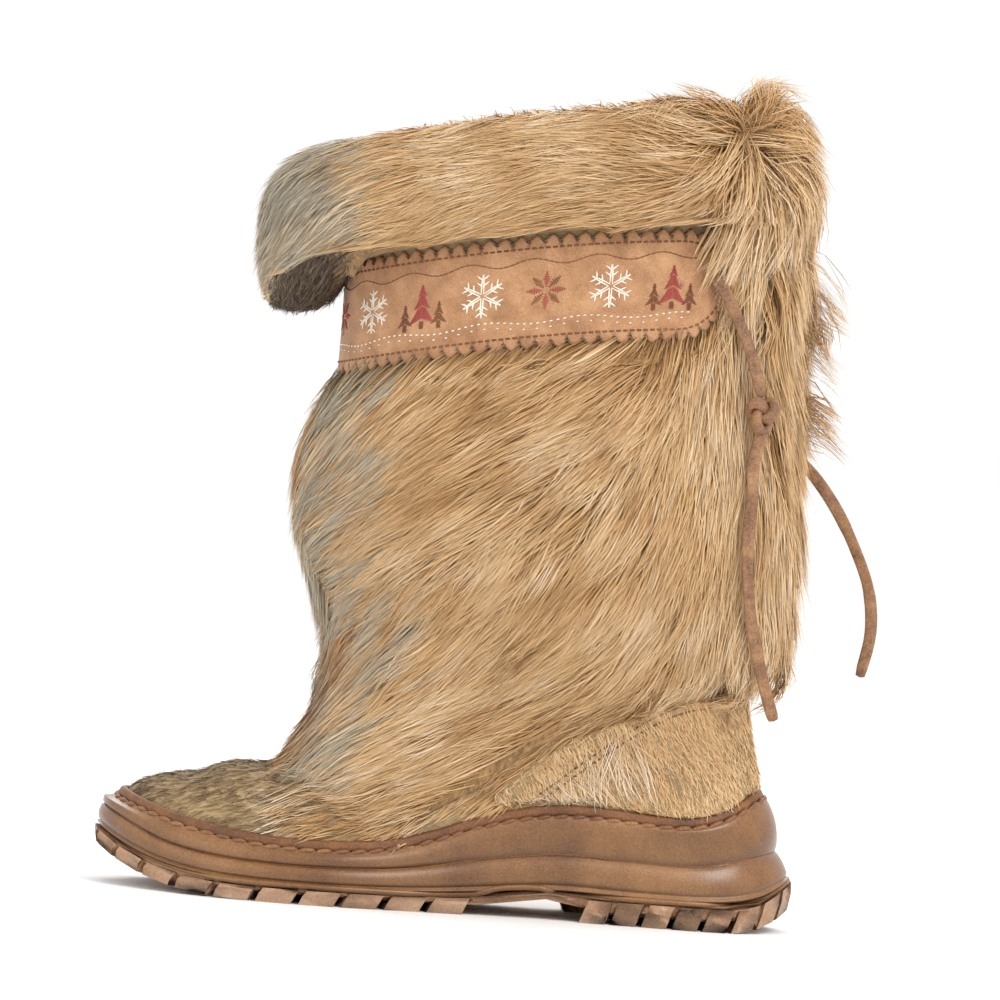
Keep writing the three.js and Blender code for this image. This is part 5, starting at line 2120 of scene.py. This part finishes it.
# Thongs. Each route is a list of points in mm, from its upper end down.
Route = tuple[tuple[float, float, float], ...]
OUTER_DROP: Route = (
    (2, 49.4, 262), (-3, 50.6, 256), (-8, 51, 247), (-13, 50.8, 237), (-17, 51.8, 226),
    (-20, 53.5, 216.5),
)
OUTER_TAIL: Route = (
    (-21.5, 53.5, 202.4), (-18.8, 52, 190), (-19.5, 50.8, 176), (-19, 50.4, 160), (-20, 48, 144),
    (-23, 44, 126), (-27, 40, 111), (-31, 37, 98), (-35, 35, 87),
)
INNER_DROP: Route = (
    (2, -49.4, 262), (-3, -50.6, 256), (-8, -51, 247), (-13, -50.8, 237), (-18, -51.8, 226),
    (-22, -53.5, 216.5),
)
INNER_TAIL: Route = (
    (-27, -53, 202.4), (-35, -51.4, 194.4), (-46, -48, 185), (-57, -46, 171), (-66, -44, 155),
    (-72.5, -43, 139), (-74.5, -42, 122), (-71.5, -41, 104),
)


@dataclass
class Thong:
    """A leather thong: a strap from the band's end, a knot, and a tail."""

    side: str
    drop: Route
    tail: Route
    leather: bpy.types.Material
    width_mm: float = 5.0
    thickness_mm: float = 2.2

    def strap(self, name: str, route_mm: Route, seed: int) -> tuple[bpy.types.Object, Array]:
        """Builds one flat strap.

        Args:
            name: the piece's name.
            route_mm: the points that it follows.
            seed: of its uneven edges.

        Returns:
            The strap, and the points of its middle line.
        """
        rng = np.random.default_rng(seed)
        route = spline(np.array(route_mm) * MM, 5)
        count = len(route)
        sway = np.convolve(rng.normal(0, 1, count + 6), np.ones(7) / 7, "valid")
        facing = np.array([0.0, 1.0 if route[0, 1] > 0 else -1.0, 0.0])
        normal = np.tile(facing, (count, 1)) + np.stack([sway * 0.25, sway * 0, sway * 0], 1)
        ends = np.ones(count)
        ends[-1] = 0.8
        width = self.width_mm * MM * (0.95 + 0.05 * np.clip(sway * 3, -1, 1)) * ends
        strip = Threads(name, self.leather, "thong_leather", sides=16)
        strip.lay(route, unit(normal), width, self.thickness_mm * MM * 0.95, squareness=0.5)
        made = strip.make()
        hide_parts(name.replace("_strap", "").replace("_end", ""))
        return made, route

    def knot(self) -> bpy.types.Object:
        """Ties the overhand knot between the strap and its tail.

        Returns:
            The knot.
        """
        t = np.linspace(0, 2 * math.pi, 73)[:-1]
        loop = np.stack(
            [np.sin(t) + 2 * np.sin(2 * t), -1.3 * np.sin(3 * t), np.cos(t) - 2 * np.cos(2 * t)], 1
        )
        top, low = np.array(self.drop[-1]), np.array(self.tail[0])
        middle = (top + low) / 2
        route = (middle + loop * np.array([1.75, 1.85, 2.15])) * MM
        route = np.vstack([route, route[:2]])
        out = unit(route - middle * MM)
        wrap = Threads(f"knot_{self.side}_wrap", self.leather, "thong_leather", sides=10)
        wrap.lay(route, out, 5.8 * MM, 3.8 * MM, squareness=0.75)
        made = wrap.make()
        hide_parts(f"knot_{self.side}")
        return made

    def build(self) -> None:
        knot = self.knot()
        for name, route_mm, far, pieces, seed in (
            (f"thong_{self.side}_strap", self.drop, "knot", [knot], 5),
            (f"tail_{self.side}_end", self.tail, "bare", [], 6),
        ):
            made, route = self.strap(name, route_mm, seed)


# Stage
@dataclass
class Studio:
    """Camera, floor and lights."""

    target: Vector = field(default_factory=lambda: Vector((0.081, 0.0, 0.166)))
    distance: float = 3.6
    elevation: float = 1.5
    azimuth: float = 180.0
    roll: float = 4.3
    width: float = 0.405

    def camera(self) -> None:
        """Places the camera at the photograph's angle."""
        turn, tilt, roll = (math.radians(a) for a in (self.azimuth, self.elevation, self.roll))
        back = Vector(
            (math.sin(turn) * math.cos(tilt), -math.cos(turn) * math.cos(tilt), math.sin(tilt))
        )
        right = Vector((math.cos(turn), math.sin(turn), 0))
        up = back.cross(right)
        level_right = right * math.cos(roll) + up * math.sin(roll)
        level_up = up * math.cos(roll) - right * math.sin(roll)
        data = bpy.data.cameras.new("camera")
        data.sensor_width = 36.0
        data.lens = data.sensor_width * self.distance / self.width
        data.clip_end = 30.0
        camera = bpy.data.objects.new("camera", data)
        bpy.context.collection.objects.link(camera)
        rotation = Matrix((level_right, level_up, back)).transposed().to_4x4()
        camera.matrix_world = Matrix.Translation(self.target + back * self.distance) @ rotation
        bpy.context.scene.camera = camera

    def light(
        self, name: str, place: tuple[float, float, float], size: float, watts: float
    ) -> None:
        """Adds a soft square light that faces the boot.

        Args:
            name: its name.
            place: where it stands, in metres.
            size: the length of its side, in metres.
            watts: its power.
        """
        data = bpy.data.lights.new(name, "AREA")
        data.size = size
        data.energy = watts
        lamp = bpy.data.objects.new(name, data)
        bpy.context.collection.objects.link(lamp)
        lamp.location = place
        lamp.rotation_euler = (self.target - Vector(place)).to_track_quat("-Z", "Y").to_euler()

    def build(self) -> None:
        """Sets up the floor, the lights and the pale surroundings."""
        turns = np.linspace(0, 2 * math.pi, 65)[:-1]
        ring = np.stack([12 * np.cos(turns), 12 * np.sin(turns), turns * 0], 1)
        faces = np.array([(0, k + 1, (k + 1) % 64 + 1) for k in range(64)])
        mesh_object("floor", np.vstack([[0, 0, 0], ring]), faces, PAPER.make(), None)
        self.light("key_light", (-0.9, 1.3, 1.5), 0.9, 21)
        self.light("fill_light", (1.4, 1.1, 0.8), 1.2, 3)
        self.light("back_light", (0.2, -1.5, 1.4), 1.4, 14)
        world = bpy.data.worlds.new("pale_room")
        world.use_nodes = True
        background = world.node_tree.nodes["Background"]
        background.inputs["Color"].default_value = srgb("F8F8F8")
        background.inputs["Strength"].default_value = 1.13
        bpy.context.scene.world = world
        # The plain view shows the finishes' colours as they are.
        bpy.context.scene.view_settings.view_transform = "Standard"


# Main
def main() -> None:
    """Builds the boot's pieces in order and reports each."""
    logging.basicConfig(level=logging.INFO, format="%(message)s")
    studio = Studio()
    studio.camera()
    leather = THONG_LEATHER.make()
    Thong("outer", OUTER_DROP, OUTER_TAIL, leather).build()
    Thong("inner", INNER_DROP, INNER_TAIL, leather).build()
    sole_parts = (CUP_RUBBER, TREAD_RUBBER, WELT_LEATHER, LINING, WAXED_THREAD)
    Sole(*(finish.make() for finish in sole_parts)).build()
    brown = BROWN_THREAD.make()
    long_hair = LONG_HAIR.make()
    upper_parts = (HIDE, LINING, TOE_HAIR, PANEL_HAIR)
    hide = Upper(*(finish.make() for finish in upper_parts), long_hair, brown).build()
    band = Band(hide, BAND_SUEDE.make(), brown, RED_THREAD.make(), WHITE_THREAD.make())
    band.build()
    Furs(hide, band, long_hair, BROW_HAIR.make(), UNDERCOAT.make()).build()
    studio.build()


if __name__ == "__main__":
    main()
